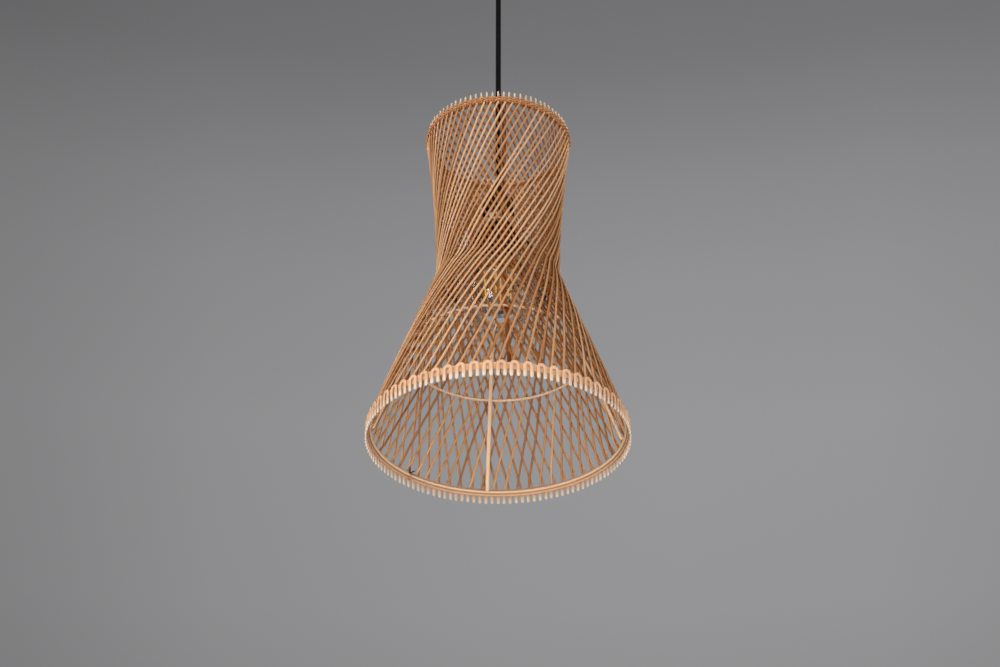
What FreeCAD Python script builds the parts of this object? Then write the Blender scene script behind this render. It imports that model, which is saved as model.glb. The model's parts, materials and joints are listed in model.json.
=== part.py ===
import FreeCAD, Part
import math
import os
import re
import Sketcher
from FreeCAD import Placement, Rotation, Vector

# Pendant ceiling light: a woven rattan shade on a steel spider, an E27 lampholder with a
# clear globe bulb, a straight cord and a ceiling rose.
# Origin: the centre of the ceiling face.  +Z up, so everything hangs below z = 0.

DIMENSIONS = [
    # overall
    ("drop_to_hoop", 745.0, "ceiling face down to the plane of the bottom hoop"),
    ("cord_diameter", 7.0, "outer diameter of the cord sheath"),
    ("pivot_gap", 0.1, "clearance round the bending length of the cord"),
    ("pivot_depth", 5.0, "the cord's bend above the grip's mouth"),
    # ceiling rose
    ("canopy_diameter", 80.0, "rose cover, outside"),
    ("canopy_height", 25.0, "rose cover, height"),
    ("canopy_wall", 1.0, "rose cover, sheet thickness"),
    ("bracket_length", 74.0, "ceiling bracket, over its two tabs"),
    ("bracket_width", 18.0, "ceiling bracket, strip width"),
    ("bracket_sheet", 1.5, "ceiling bracket, sheet thickness"),
    ("bracket_tab", 13.0, "ceiling bracket, depth of the bent tabs"),
    ("ceiling_hole_spacing", 62.0, "ceiling screw holes, centre to centre"),
    ("ceiling_hole", 4.5, "ceiling screw hole diameter"),
    ("side_screw_depth", 9.0, "side screws below the ceiling"),
    ("side_screw_shank", 4.0, "side screw, shank diameter"),
    ("side_screw_hole", 4.1, "clear hole for a side screw"),
    ("block_size_x", 16.0, "terminal block, along the wires"),
    ("block_size_y", 18.0, "terminal block, across the wires"),
    ("block_size_z", 11.0, "terminal block, height"),
    ("block_start", 10.0, "terminal block, first face from the axis"),
    ("pole_offset", 4.5, "terminal pole from the middle of the block"),
    ("pole_bore", 3.2, "wire bore of a terminal pole"),
    ("pole_depth", 7.6, "wire bores below the ceiling"),
    ("wire_diameter", 2.2, "insulated conductor"),
    ("grip_length", 26.0, "cord grip below the rose cover"),
    ("grip_diameter", 16.0, "cord grip, largest diameter"),
    ("grip_mouth", 14.0, "cord grip, outside at the mouth"),
    ("mouth_bore", 12.4, "cord grip, inside at the mouth"),
    ("grip_bore", 7.4, "cord grip, bore"),
    ("stem_diameter", 10.0, "threaded stem of both cord grips"),
    ("stem_clear", 10.2, "clear hole for a stem"),
    ("stem_length", 8.0, "threaded stem, length"),
    ("nut_width", 14.0, "stem nut across flats"),
    ("nut_height", 3.0, "stem nut, height"),
    # lampholder, heights above the plane of the bottom hoop
    ("holder_top", 336.0, "top of the holder cap"),
    ("holder_base", 256.0, "open lower rim of the holder body"),
    ("cap_height", 26.0, "holder cap, height"),
    ("holder_radius", 20.0, "holder cap and body, outside"),
    ("holder_wall", 1.8, "holder cap and body, wall"),
    ("spigot_height", 6.0, "spigot of the body inside the cap"),
    ("flange_radius", 24.0, "flange of the body above the spider"),
    ("flange_height", 272.0, "underside of that flange"),
    ("ring_radius", 27.0, "shade ring, outside"),
    ("ring_height", 9.0, "shade ring, height"),
    ("holder_grip_length", 20.0, "cord grip above the cap"),
    ("holder_grip_diameter", 14.0, "cord grip above the cap, diameter"),
    ("sheath_end", 325.0, "end of the cord sheath inside the cap"),
    ("insert_base", 287.4, "underside of the insulating insert"),
    ("insert_height", 15.0, "insulating insert, height"),
    ("shell_inner", 13.5, "screw shell, inside radius"),
    ("shell_wall", 0.4, "screw shell, wall"),
    ("shell_base", 261.0, "lower edge of the screw shell"),
    # bulb
    ("bulb_tip", 286.2, "top of the bulb's centre contact"),
    ("cap_radius", 13.1, "bulb screw cap, outside"),
    ("globe_radius", 47.5, "bulb globe"),
    ("globe_height", 194.5, "middle of the globe"),
    ("glass_wall", 0.9, "bulb glass"),
    ("filament_diameter", 2.0, "light-emitting filament"),
    # shade, heights above the plane of the bottom hoop
    ("strand_diameter", 2.4, "woven strand"),
    ("family_gap", 2.8, "outer strands to inner strands, centre to centre"),
    ("strand_count", 64, "strands leaning each way"),
    ("winding_constant", 35.5, "radius times sine of the strand's lean"),
    ("foot_radius", 149.8, "outer strands near the bottom rim"),
    ("rim_radius", 147.6, "lower strand ends"),
    ("strand_foot", 5.0, "lower strand ends above the bottom hoop"),
    ("waist_radius", 74.2, "outer strands at the waist"),
    ("waist_height", 211.0, "waist above the bottom hoop"),
    ("top_radius", 89.6, "outer strands at the top"),
    ("top_height", 415.0, "upper strand ends"),
    ("bottom_hoop_radius", 145.5, "bottom hoop"),
    ("bottom_hoop_diameter", 3.0, "bottom hoop, cane"),
    ("middle_hoop_radius", 105.9, "middle hoop"),
    ("middle_hoop_height", 105.0, "middle hoop above the bottom hoop"),
    ("middle_hoop_diameter", 3.2, "middle hoop, cane"),
    ("waist_ring_radius", 68.2, "outer ring of the spider"),
    ("waist_ring_diameter", 3.0, "outer ring of the spider, wire"),
    ("top_hoop_radius", 83.6, "top hoop"),
    ("top_hoop_height", 417.4, "top hoop above the bottom hoop"),
    ("top_hoop_diameter", 3.0, "top hoop, cane"),
    ("top_band_radius", 91.1, "outer rows of the top edge"),
    ("top_band_diameter", 2.0, "outer rows of the top edge, cane"),
    ("bottom_band_radius", 148.0, "flat hoop under the strand ends, middle"),
    ("bottom_band_top", 4.2, "flat hoop, upper edge above the bottom hoop's plane"),
    ("bottom_band_height", 8.8, "flat hoop, height"),
    ("bottom_band_thickness", 1.7, "flat hoop, radial thickness"),
    ("bottom_band_edge", 0.5, "flat hoop, chamfer"),
    ("loop_radius", 150.2, "bottom loops"),
    ("loop_count", 64, "bottom loops round the rim"),
    ("loop_width", 11.7, "bottom loop over both legs"),
    ("loop_leg", 4.3, "bottom loop, leg width"),
    ("loop_thickness", 2.4, "bottom loop, radial thickness"),
    ("loop_top", 6.2, "top of a loop above the bottom hoop"),
    ("loop_length", 20.4, "bottom loop, height"),
    ("peg_count", 80, "pegs round the top edge"),
    ("peg_diameter", 2.8, "top peg"),
    ("peg_radius", 88.6, "top pegs from the axis"),
    ("peg_base", 416.6, "foot of a top peg"),
    ("peg_height", 14.2, "top peg, height"),
    ("rib_width", 5.0, "rib, across"),
    ("rib_thickness", 3.0, "rib, radial thickness"),
    ("rib_turn", 5.2, "turn of the ribs about the axis"),
    ("rib_inset", 7.75, "outer strands to the ribs' outer face"),
    ("hub_inner", 20.4, "spider hub, hole radius"),
    ("hub_outer", 31.0, "spider hub, outside radius"),
    ("hub_sheet", 1.2, "spider hub, sheet thickness"),
    ("arm_diameter", 2.6, "spider arm, wire"),
]

doc = FreeCAD.newDocument("PendantLight")
sheet = doc.addObject("Spreadsheet::Sheet", "Dims")
for row, (alias, value, note) in enumerate(DIMENSIONS, start=1):
    sheet.set("A%d" % row, note)
    sheet.set("B%d" % row, str(value))
    sheet.setAlias("B%d" % row, alias)
doc.recompute()
ALIASES = set(alias for alias, value, note in DIMENSIONS)
NODES = {}


def bind(text):
    """The expression with every driving dimension named on the sheet."""
    def with_sheet(match):
        """A word of the expression, with the sheet's name before an alias."""
        word = match.group(0)
        return "Dims." + word if word in ALIASES else word

    return re.sub(r"[a-z][a-z_]*", with_sheet, text)


def value_of(text):
    """The expression's number."""
    return float(sheet.evalExpression(bind(str(text))))


def dim(alias):
    """One driving dimension."""
    return float(sheet.get(alias))


def at_height(text):
    """A height above the bottom hoop as a height in the frame."""
    return "-drop_to_hoop + " + text


def place(thing, x="0", y="0", z="0"):
    """Bind a Placement's base to the sheet."""
    for axis, text in (("x", x), ("y", y), ("z", z)):
        thing.setExpression("Placement.Base." + axis, bind(text))


def node(label, thing):
    """Name a finished sub-part."""
    thing.Label = label
    NODES[label] = thing
    return thing


# ---------------------------------------------------------------- PartDesign helpers

def plane(body, role):
    """One of a body's own origin planes."""
    return [feature for feature in body.Origin.OriginFeatures if feature.Role == role][0]


def new_sketch(body, role, name):
    """A sketch on one of the body's origin planes."""
    sketch = body.newObject("Sketcher::SketchObject", name)
    sketch.AttachmentSupport = [(plane(body, role), "")]
    sketch.MapMode = "FlatFace"
    return sketch


def hold_point(sketch, geo, pos, x_text, y_text):
    """Fix one sketch point to the origin by bound distances."""
    for kind, axis, text in (("DistanceX", -2, x_text), ("DistanceY", -1, y_text)):
        number = value_of(text)
        if abs(number) < 1e-9:
            sketch.addConstraint(Sketcher.Constraint("PointOnObject", geo, pos, axis))
        else:
            index = sketch.addConstraint(Sketcher.Constraint(kind, -1, 1, geo, pos, number))
            sketch.setExpression("Constraints[%d]" % index, bind(text))


def outline(sketch, points, arcs=None):
    """A closed outline through bound points; arcs maps a side to (radius, +1 left / -1 right)."""
    arcs = arcs or {}
    corners = [Vector(value_of(x), value_of(y), 0) for x, y in points]
    count = len(corners)
    starts = []
    for side in range(count):
        a = corners[side]
        b = corners[(side + 1) % count]
        if side in arcs:
            radius_text, turn = arcs[side]
            radius = value_of(radius_text)
            chord = b.sub(a)
            normal = Vector(-chord.y, chord.x, 0).normalize()
            reach = math.sqrt(max(radius ** 2 - (chord.Length / 2) ** 2, 0.0))
            centre = (a + b) * 0.5 + normal * (reach * turn)
            begin = math.atan2(a.y - centre.y, a.x - centre.x)
            end = math.atan2(b.y - centre.y, b.x - centre.x)
            if turn < 0:
                begin, end = end, begin
            if end < begin:
                end += 2 * math.pi
            circle = Part.Circle(centre, Vector(0, 0, 1), radius)
            geo = sketch.addGeometry(Part.ArcOfCircle(circle, begin, end), False)
            starts.append((geo, 1, 2) if turn > 0 else (geo, 2, 1))
        else:
            geo = sketch.addGeometry(Part.LineSegment(a, b), False)
            starts.append((geo, 1, 2))
    for side in range(count):
        geo, first, last = starts[side]
        follower, next_first, next_last = starts[(side + 1) % count]
        sketch.addConstraint(Sketcher.Constraint("Coincident", geo, last, follower, next_first))
    for side in range(count):
        geo, first, last = starts[side]
        hold_point(sketch, geo, first, points[side][0], points[side][1])
        if side in arcs:
            index = sketch.addConstraint(Sketcher.Constraint("Radius", geo, value_of(arcs[side][0])))
            sketch.setExpression("Constraints[%d]" % index, bind(arcs[side][0]))


def circle_at(sketch, x_text, y_text, radius_text):
    """A bound circle."""
    centre = Vector(value_of(x_text), value_of(y_text), 0)
    geo = sketch.addGeometry(Part.Circle(centre, Vector(0, 0, 1), value_of(radius_text)), False)
    hold_point(sketch, geo, 3, x_text, y_text)
    index = sketch.addConstraint(Sketcher.Constraint("Radius", geo, value_of(radius_text)))
    sketch.setExpression("Constraints[%d]" % index, bind(radius_text))


def turned(label, points, z="0", arcs=None):
    """A body turned about Z from an outline of (radius, height) points."""
    body = doc.addObject("PartDesign::Body", label + "_body")
    sketch = new_sketch(body, "XZ_Plane", label + "_outline")
    outline(sketch, points, arcs)
    turn = body.newObject("PartDesign::Revolution", label + "_turn")
    turn.Profile = sketch
    turn.ReferenceAxis = (sketch, ["V_Axis"])
    turn.Angle = 360.0
    sketch.Visibility = False
    place(body, z=z)
    return node(label, body)


def drill(body, role, circles, name):
    """Round holes right through the body, normal to one origin plane."""
    sketch = new_sketch(body, role, name + "_circles")
    for x_text, y_text, radius_text in circles:
        circle_at(sketch, x_text, y_text, radius_text)
    pocket = body.newObject("PartDesign::Pocket", name)
    pocket.Profile = sketch
    pocket.Type = "ThroughAll"
    pocket.SideType = "Symmetric"
    return pocket


# ---------------------------------------------------------------- Part helpers

def solid(kind, name, sizes, x="0", y="0", z="0", axis=(0, 0, 1)):
    """A Part primitive with bound sizes and a bound position."""
    thing = doc.addObject("Part::" + kind, name)
    for prop, text in sizes.items():
        thing.setExpression(prop, bind(text))
    thing.Placement = Placement(Vector(0, 0, 0), Rotation(Vector(0, 0, 1), Vector(*axis)))
    place(thing, x, y, z)
    return thing


def joined(name, things):
    """Several solids made one."""
    fuse = doc.addObject("Part::MultiFuse", name)
    fuse.Shapes = things
    return fuse


def taken_from(name, base, tools):
    """A solid with others removed."""
    tool = tools[0] if len(tools) == 1 else joined(name + "_tools", tools)
    cut = doc.addObject("Part::Cut", name)
    cut.Base = base
    cut.Tool = tool
    return cut


def group(label, things):
    """Identical pieces kept as separate solids under one name."""
    compound = doc.addObject("Part::Compound", label + "_set")
    compound.Links = things
    return node(label, compound)


def shape_node(label, shape, z="0"):
    """A sub-part whose form is computed from the sheet, placed afterwards."""
    feature = doc.addObject("Part::Feature", label + "_shape")
    feature.Shape = shape
    place(feature, z=z)
    return node(label, feature)


def torus(label, radius, wire, z):
    """A hoop."""
    ring = solid("Torus", label + "_torus", {"Radius1": radius, "Radius2": wire + " / 2"}, z=z)
    return ring


def rounded_path(points, radius):
    """Straight runs through the points joined by tangent arcs."""
    edges = []
    last = points[0]
    for index in range(1, len(points) - 1):
        corner = points[index]
        back = (points[index - 1] - corner).normalize()
        ahead = (points[index + 1] - corner).normalize()
        half = math.acos(max(-1.0, min(1.0, back.dot(ahead)))) / 2
        reach = radius / math.tan(half)
        start = corner + back * reach
        end = corner + ahead * reach
        middle_way = (back + ahead).normalize()
        middle = corner + middle_way * (radius / math.sin(half) - radius)
        edges.append(Part.LineSegment(last, start).toShape())
        edges.append(Part.Arc(start, middle, end).toShape())
        last = end
    edges.append(Part.LineSegment(last, points[-1]).toShape())
    return Part.Wire(edges)


def round_sweep(wire, start, direction, diameter, corner=False):
    """A round bar along a wire."""
    section = Part.Wire([Part.makeCircle(diameter / 2, start, direction)])
    shell = Part.BRepOffsetAPI.MakePipeShell(wire)
    shell.add(section)
    shell.setTransitionMode(1 if corner else 0)
    shell.build()
    shell.makeSolid()
    bar = shell.shape()
    if bar.Volume < 0:
        bar.reverse()
    return bar


def turned_copies(master, count, first_angle=0.0):
    """Copies of a solid evenly spaced about Z."""
    copies = []
    for index in range(count):
        copy = master.copy()
        copy.rotate(Vector(0, 0, 0), Vector(0, 0, 1), first_angle + 360.0 * index / count)
        copies.append(copy)
    return copies


# ---------------------------------------------------------------- ceiling rose

half_strip = "bracket_length / 2"
bracket = doc.addObject("PartDesign::Body", "ceiling_bracket_body")
strip = new_sketch(bracket, "XZ_Plane", "bracket_side")
outline(strip, [
    ("-" + half_strip, "0"),
    ("-" + half_strip, "-bracket_tab"),
    ("-" + half_strip + " + bracket_sheet", "-bracket_tab"),
    ("-" + half_strip + " + bracket_sheet", "-bracket_sheet"),
    (half_strip + " - bracket_sheet", "-bracket_sheet"),
    (half_strip + " - bracket_sheet", "-bracket_tab"),
    (half_strip, "-bracket_tab"),
    (half_strip, "0"),
])
bent = bracket.newObject("PartDesign::Pad", "bracket_strip")
bent.Profile = strip
bent.SideType = "Symmetric"
bent.setExpression("Length", bind("bracket_width"))
drill(bracket, "XY_Plane", [
    ("ceiling_hole_spacing / 2", "0", "ceiling_hole / 2"),
    ("-ceiling_hole_spacing / 2", "0", "ceiling_hole / 2"),
], "bracket_ceiling_holes")
drill(bracket, "YZ_Plane", [("0", "-side_screw_depth", "side_screw_hole / 2")], "bracket_side_holes")
place(bracket)
node("ceiling_bracket", bracket)

canopy = turned("canopy_cover", [
    ("canopy_diameter / 2", "0"),
    ("canopy_diameter / 2 - canopy_wall", "0"),
    ("canopy_diameter / 2 - canopy_wall", "-canopy_height + canopy_wall + 3"),
    ("canopy_diameter / 2 - canopy_wall - 3", "-canopy_height + canopy_wall"),
    ("stem_clear / 2", "-canopy_height + canopy_wall"),
    ("stem_clear / 2", "-canopy_height"),
    ("canopy_diameter / 2 - 4", "-canopy_height"),
    ("canopy_diameter / 2", "-canopy_height + 4"),
], arcs={2: ("3", -1), 6: ("4", 1)})
drill(canopy, "YZ_Plane", [("0", "-side_screw_depth", "side_screw_hole / 2")], "canopy_side_holes")

screws = []
for side, name in ((1, "right"), (-1, "left")):
    sign = "" if side > 0 else "-"
    shank = solid("Cylinder", "side_shank_" + name,
                  {"Radius": "side_screw_shank / 2", "Height": "6.5"},
                  x=sign + "(canopy_diameter / 2 - 6.4)", z="-side_screw_depth", axis=(side, 0, 0))
    head = solid("Cylinder", "side_head_" + name, {"Radius": "3.6", "Height": "2.4"},
                 x=sign + "(canopy_diameter / 2 + 0.05)", z="-side_screw_depth", axis=(side, 0, 0))
    slot = solid("Box", "side_slot_" + name, {"Length": "1.4", "Width": "5.4", "Height": "0.9"},
                 x=sign + "(canopy_diameter / 2 + 2.5) - 0.7", y="-2.7", z="-side_screw_depth - 0.45")
    screws.append(taken_from("side_screw_" + name, joined("side_blank_" + name, [shank, head]), [slot]))
group("canopy_screws", screws)

block_body = solid("Box", "block_blank", {
    "Length": "block_size_x", "Width": "block_size_y", "Height": "block_size_z",
}, x="block_start", y="-block_size_y / 2", z="-bracket_sheet - 0.1 - block_size_z")
block_tools = [solid("Cylinder", "block_fixing_bore", {"Radius": "1.6", "Height": "block_size_z + 2"},
                     x="block_start + block_size_x / 2", z="-bracket_sheet - 1.1 - block_size_z")]
terminal_screws = []
for side, name in ((1, "right"), (-1, "left")):
    pole = ("" if side > 0 else "-") + "pole_offset * 1.25"
    block_tools.append(solid("Cylinder", "pole_bore_" + name, {
        "Radius": "pole_bore / 2", "Height": "block_size_x + 2",
    }, x="block_start - 1", y=pole, z="-pole_depth", axis=(1, 0, 0)))
    for place_x, row in (("4", "near"), ("12", "far")):
        block_tools.append(solid("Cylinder", "pole_well_%s_%s" % (name, row), {
            "Radius": "1.6", "Height": "block_size_z - 6 + 1",
        }, x="block_start + " + place_x, y=pole, z="-bracket_sheet - 1.1 - block_size_z"))
        terminal_screws.append(solid("Cylinder", "pole_screw_%s_%s" % (name, row), {
            "Radius": "1.5", "Height": "2.6",
        }, x="block_start + " + place_x, y=pole, z="-pole_depth - pole_bore / 2 - 2.65"))
block = taken_from("block_cut", block_body, block_tools)
node("terminal_block", block)
group("terminal_screws", terminal_screws)
fix_head = solid("Cylinder", "fixing_head", {"Radius": "2.8", "Height": "2"},
                 x="block_start + block_size_x / 2", z="-bracket_sheet - 2.15 - block_size_z")
fix_shank = solid("Cylinder", "fixing_shank", {"Radius": "1.5", "Height": "block_size_z + 0.1"},
                  x="block_start + block_size_x / 2", z="-bracket_sheet - 0.15 - block_size_z")
node("block_screw", joined("block_screw_fuse", [fix_head, fix_shank]))

turned("rose_grip", [
    ("grip_bore / 2", "stem_length"),
    ("grip_bore / 2", "-grip_length + pivot_depth + 0.5"),
    ("mouth_bore / 2", "-grip_length"),
    ("grip_mouth / 2", "-grip_length"),
    ("grip_diameter / 2", "-grip_length + 15"),
    ("grip_diameter / 2", "-0.05"),
    ("stem_diameter / 2", "-0.05"),
    ("stem_diameter / 2", "stem_length"),
], z="-canopy_height")
rose_grip = NODES["rose_grip"]
screw_sketch = new_sketch(rose_grip, "XZ_Plane", "rose_grip_screw_circle")
circle_at(screw_sketch, "0", "-8", "1.6")
screw_pocket = rose_grip.newObject("PartDesign::Pocket", "rose_grip_screw_hole")
screw_pocket.Profile = screw_sketch
screw_pocket.Type = "ThroughAll"


def grip_screw(label, reach, z):
    """A small clamp screw across a cord grip, with a slotted head."""
    shank = solid("Cylinder", label + "_shank", {"Radius": "1.5", "Height": reach + " - cord_diameter / 2"},
                  y="cord_diameter / 2 + 0.02", z=z, axis=(0, 1, 0))
    head = solid("Cylinder", label + "_head", {"Radius": "2.6", "Height": "1.8"},
                 y=reach + " + 0.02", z=z, axis=(0, 1, 0))
    slot = solid("Box", label + "_slot", {"Length": "0.8", "Width": "1.2", "Height": "4"},
                 x="-0.4", y=reach + " + 1.1", z=z + " - 2")
    return node(label, taken_from(label + "_cut", joined(label + "_blank", [shank, head]), [slot]))


grip_screw("rose_grip_screw", "(grip_diameter / 2 + 0.1)", "-canopy_height - 8")

nut_blank = doc.addObject("Part::Prism", "rose_nut_prism")
nut_blank.Polygon = 6
nut_blank.setExpression("Circumradius", bind("nut_width / 1.7320508"))
nut_blank.setExpression("Height", bind("nut_height"))
place(nut_blank, z="-canopy_height + canopy_wall + 0.05")
nut_bore = solid("Cylinder", "rose_nut_bore",
                 {"Radius": "stem_diameter / 2 + 0.05", "Height": "nut_height + 2"},
                 z="-canopy_height + canopy_wall - 0.95")
node("rose_grip_nut", taken_from("rose_nut_cut", nut_blank, [nut_bore]))

# ---------------------------------------------------------------- cord

# The lamp swings in the mouth of the rose grip, where a short length of cord bends.
pivot = "-canopy_height - grip_length + pivot_depth"
tail_end = "-17"
tail = solid("Cylinder", "cord_tail_bar", {
    "Radius": "cord_diameter / 2",
    "Height": tail_end + " + canopy_height + grip_length - pivot_depth - cord_diameter / 2 - pivot_gap",
}, z=pivot + " + cord_diameter / 2 + pivot_gap")
node("cord_tail", tail)
bend = solid("Sphere", "cord_bend_ball", {"Radius": "cord_diameter / 2"}, z=pivot)
node("cord_bend", bend)
main_top = "canopy_height + grip_length - pivot_depth + cord_diameter / 2 + pivot_gap"
main = solid("Cylinder", "cord_main_bar", {
    "Radius": "cord_diameter / 2",
    "Height": "drop_to_hoop - sheath_end - (" + main_top + ")",
}, z=at_height("sheath_end"))
node("cord_main", main)


def conductor(points, radius):
    """One insulated wire."""
    path = rounded_path(points, radius)
    return round_sweep(path, points[0], points[1] - points[0], dim("wire_diameter"))


core_offset = 1.55
pole_y = value_of("pole_offset * 1.25")
pole_z = -dim("pole_depth")
upper_wires = []
for side in (1, -1):
    upper_wires.append(conductor([
        Vector(0, side * core_offset, value_of(tail_end) + 0.05),
        Vector(0, side * core_offset, -12.4),
        Vector(4.6, side * pole_y, pole_z),
        Vector(value_of("block_start + 5"), side * pole_y, pole_z),
    ], 2.4))
shape_node("rose_wires", Part.makeCompound(upper_wires))

# ---------------------------------------------------------------- lampholder

turned("holder_grip", [
    ("grip_bore / 2", "-stem_length + 1"),
    ("stem_diameter / 2", "-stem_length + 1"),
    ("stem_diameter / 2", "0.05"),
    ("holder_grip_diameter / 2", "0.05"),
    ("holder_grip_diameter / 2", "holder_grip_length - 4"),
    ("holder_grip_diameter / 2 - 2", "holder_grip_length"),
    ("grip_bore / 2", "holder_grip_length"),
], z=at_height("holder_top"))
holder_grip = NODES["holder_grip"]
screw_sketch = new_sketch(holder_grip, "XZ_Plane", "holder_grip_screw_circle")
circle_at(screw_sketch, "0", "9", "1.6")
screw_pocket = holder_grip.newObject("PartDesign::Pocket", "holder_grip_screw_hole")
screw_pocket.Profile = screw_sketch
screw_pocket.Type = "ThroughAll"
grip_screw("holder_grip_screw", "(holder_grip_diameter / 2 + 0.1)", at_height("holder_top + 9"))

turned("holder_cap", [
    ("stem_clear / 2", "0"),
    ("9", "0"),
    ("holder_radius", "-11"),
    ("holder_radius", "-cap_height"),
    ("holder_radius - holder_wall", "-cap_height"),
    ("holder_radius - holder_wall", "-11.5"),
    ("8.4", "-holder_wall"),
    ("stem_clear / 2", "-holder_wall"),
], z=at_height("holder_top"), arcs={1: ("11", -1), 5: ("9.8", 1)})

body_top = "holder_top - holder_base - cap_height"
turned("holder_body", [
    ("holder_radius", "0"),
    ("holder_radius", "flange_height - holder_base"),
    ("flange_radius", "flange_height - holder_base"),
    ("flange_radius", "flange_height - holder_base + 2"),
    ("holder_radius", "flange_height - holder_base + 3"),
    ("holder_radius", body_top + " - 0.05"),
    ("holder_radius - holder_wall - 0.1", body_top + " - 0.05"),
    ("holder_radius - holder_wall - 0.1", body_top + " + spigot_height"),
    ("holder_radius - 2 * holder_wall", body_top + " + spigot_height"),
    ("holder_radius - 2 * holder_wall", "0"),
], z=at_height("holder_base"))

turned("shade_ring", [
    ("holder_radius + 0.1", "0"),
    ("holder_radius + 3", "0"),
    ("holder_radius + 3", "ring_height - 2.2"),
    ("ring_radius", "ring_height - 1.6"),
    ("ring_radius", "ring_height"),
    ("holder_radius + 0.1", "ring_height"),
], z=at_height("flange_height - hub_sheet - 0.1 - ring_height"))

insert_radius = "holder_radius - 2 * holder_wall - 0.1"
insert_blank = solid("Cylinder", "insert_blank", {"Radius": insert_radius, "Height": "insert_height"},
                     z=at_height("insert_base"))
insert_tools = []
holder_screws = []
for side, name in ((1, "right"), (-1, "left")):
    sign = "" if side > 0 else "-"
    insert_tools.append(solid("Cylinder", "insert_wire_hole_" + name, {"Radius": "1.35", "Height": "9"},
                              x=sign + "11.5", z=at_height("insert_base + insert_height - 8")))
    insert_tools.append(solid("Cylinder", "insert_screw_hole_" + name, {"Radius": "1.55", "Height": "9"},
                              x=sign + "8", y=sign + "7.5", z=at_height("insert_base + insert_height - 8")))
    shank = solid("Cylinder", "holder_screw_shank_" + name, {"Radius": "1.5", "Height": "7.5"},
                  x=sign + "8", y=sign + "7.5", z=at_height("insert_base + insert_height - 7.4"))
    head = solid("Cylinder", "holder_screw_head_" + name, {"Radius": "2.8", "Height": "2"},
                 x=sign + "8", y=sign + "7.5", z=at_height("insert_base + insert_height + 0.05"))
    holder_screws.append(joined("holder_screw_" + name, [shank, head]))
node("holder_insert", taken_from("insert_cut", insert_blank, insert_tools))
group("holder_terminal_screws", holder_screws)

turned("screw_shell", [
    ("shell_inner", "0"),
    ("shell_inner + 1.4", "0"),
    ("shell_inner + 1.4", "shell_wall"),
    ("shell_inner + shell_wall", "shell_wall"),
    ("shell_inner + shell_wall", "insert_base - shell_base - 0.05"),
    ("shell_inner", "insert_base - shell_base - 0.05"),
], z=at_height("shell_base"))

contact_strip = solid("Box", "contact_strip", {"Length": "18", "Width": "6", "Height": "0.4"},
                      x="-9", y="-3", z=at_height("insert_base - 0.45"))
contact_dimple = solid("Cylinder", "contact_dimple", {"Radius": "2.4", "Height": "0.4"},
                       z=at_height("insert_base - 0.8"))
node("centre_contact", joined("centre_contact_fuse", [contact_strip, contact_dimple]))

lower_wires = []
for side in (1, -1):
    lower_wires.append(conductor([
        Vector(side * core_offset, 0, dim("sheath_end") - 0.05),
        Vector(side * core_offset, 0, dim("sheath_end") - 5.0),
        Vector(side * 11.5, 0, value_of("insert_base + insert_height + 5")),
        Vector(side * 11.5, 0, value_of("insert_base + insert_height - 7")),
    ], 2.6))
shape_node("holder_wires", Part.makeCompound(lower_wires), z="-drop_to_hoop")

# ---------------------------------------------------------------- bulb

turned("bulb_contact", [
    ("0", "0"),
    ("3.4", "0"),
    ("4.4", "-0.7"),
    ("4.4", "-1.6"),
    ("0", "-1.6"),
], z=at_height("bulb_tip"))
turned("bulb_insulator", [
    ("0", "-1.65"),
    ("6", "-1.65"),
    ("10.6", "-4.9"),
    ("10.6", "-5.2"),
    ("0", "-5.2"),
], z=at_height("bulb_tip"))
turned("bulb_cap", [
    ("cap_radius - 2", "-5.25"),
    ("cap_radius", "-6.8"),
    ("cap_radius", "-25"),
    ("cap_radius - 0.35", "-25"),
    ("cap_radius - 0.35", "-7"),
    ("cap_radius - 2.35", "-5.6"),
    ("0", "-5.6"),
    ("0", "-5.25"),
], z=at_height("bulb_tip"))

neck = "13"
neck_top = "bulb_tip - 22 - globe_height"
turned("bulb_glass", [
    ("cap_radius - 0.45", neck_top),
    ("cap_radius - 0.45", neck_top + " - 3.3"),
    ("15.2", neck_top + " - 8"),
    ("22.5", "41.832404"),
    ("0", "-globe_radius"),
    ("0", "-globe_radius + glass_wall"),
    ("22.074", "41.038774"),
    ("14.4", neck_top + " - 8.4"),
    ("cap_radius - 0.45 - glass_wall", neck_top + " - 3.7"),
    ("cap_radius - 0.45 - glass_wall", neck_top),
], z=at_height("globe_height"), arcs={3: ("globe_radius", -1), 5: ("globe_radius - glass_wall", 1)})

turned("bulb_stem", [
    ("0", neck_top + " + 8"),
    ("3", neck_top + " + 8"),
    ("3", neck_top + " - 14"),
    ("7.5", neck_top + " - 20"),
    ("7.5", neck_top + " - 23"),
    ("1.8", neck_top + " - 27"),
    ("1.5", "-15"),
    ("0", "-15"),
], z=at_height("globe_height"))

filament_angle = -10.0
filament_top = Vector(17.0, 0, 33.0)
filament_foot = Vector(15.0, 0, -14.0)
filament_way = (filament_foot - filament_top).normalize()
filament = Part.makeCylinder(dim("filament_diameter") / 2, (filament_foot - filament_top).Length,
                             filament_top, filament_way)
filament_set = turned_copies(filament, 4, filament_angle)
shape_node("bulb_filaments", Part.makeCompound(filament_set), z=at_height("globe_height"))

lower_wire = Part.makeCylinder(0.35, 13.7, Vector(1.7, 0, filament_foot.z - 0.9), Vector(1, 0, 0))
upper_wire_start = Vector(2.6, 0, 41.3)
upper_wire_way = filament_top + Vector(-0.7, 0, 0.9) - upper_wire_start
upper_wire = Part.makeCylinder(0.35, upper_wire_way.Length, upper_wire_start, upper_wire_way)
wire_set = turned_copies(lower_wire, 4, filament_angle) + turned_copies(upper_wire, 4, filament_angle)
shape_node("bulb_wires", Part.makeCompound(wire_set), z=at_height("globe_height"))

# ---------------------------------------------------------------- shade frame

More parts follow.
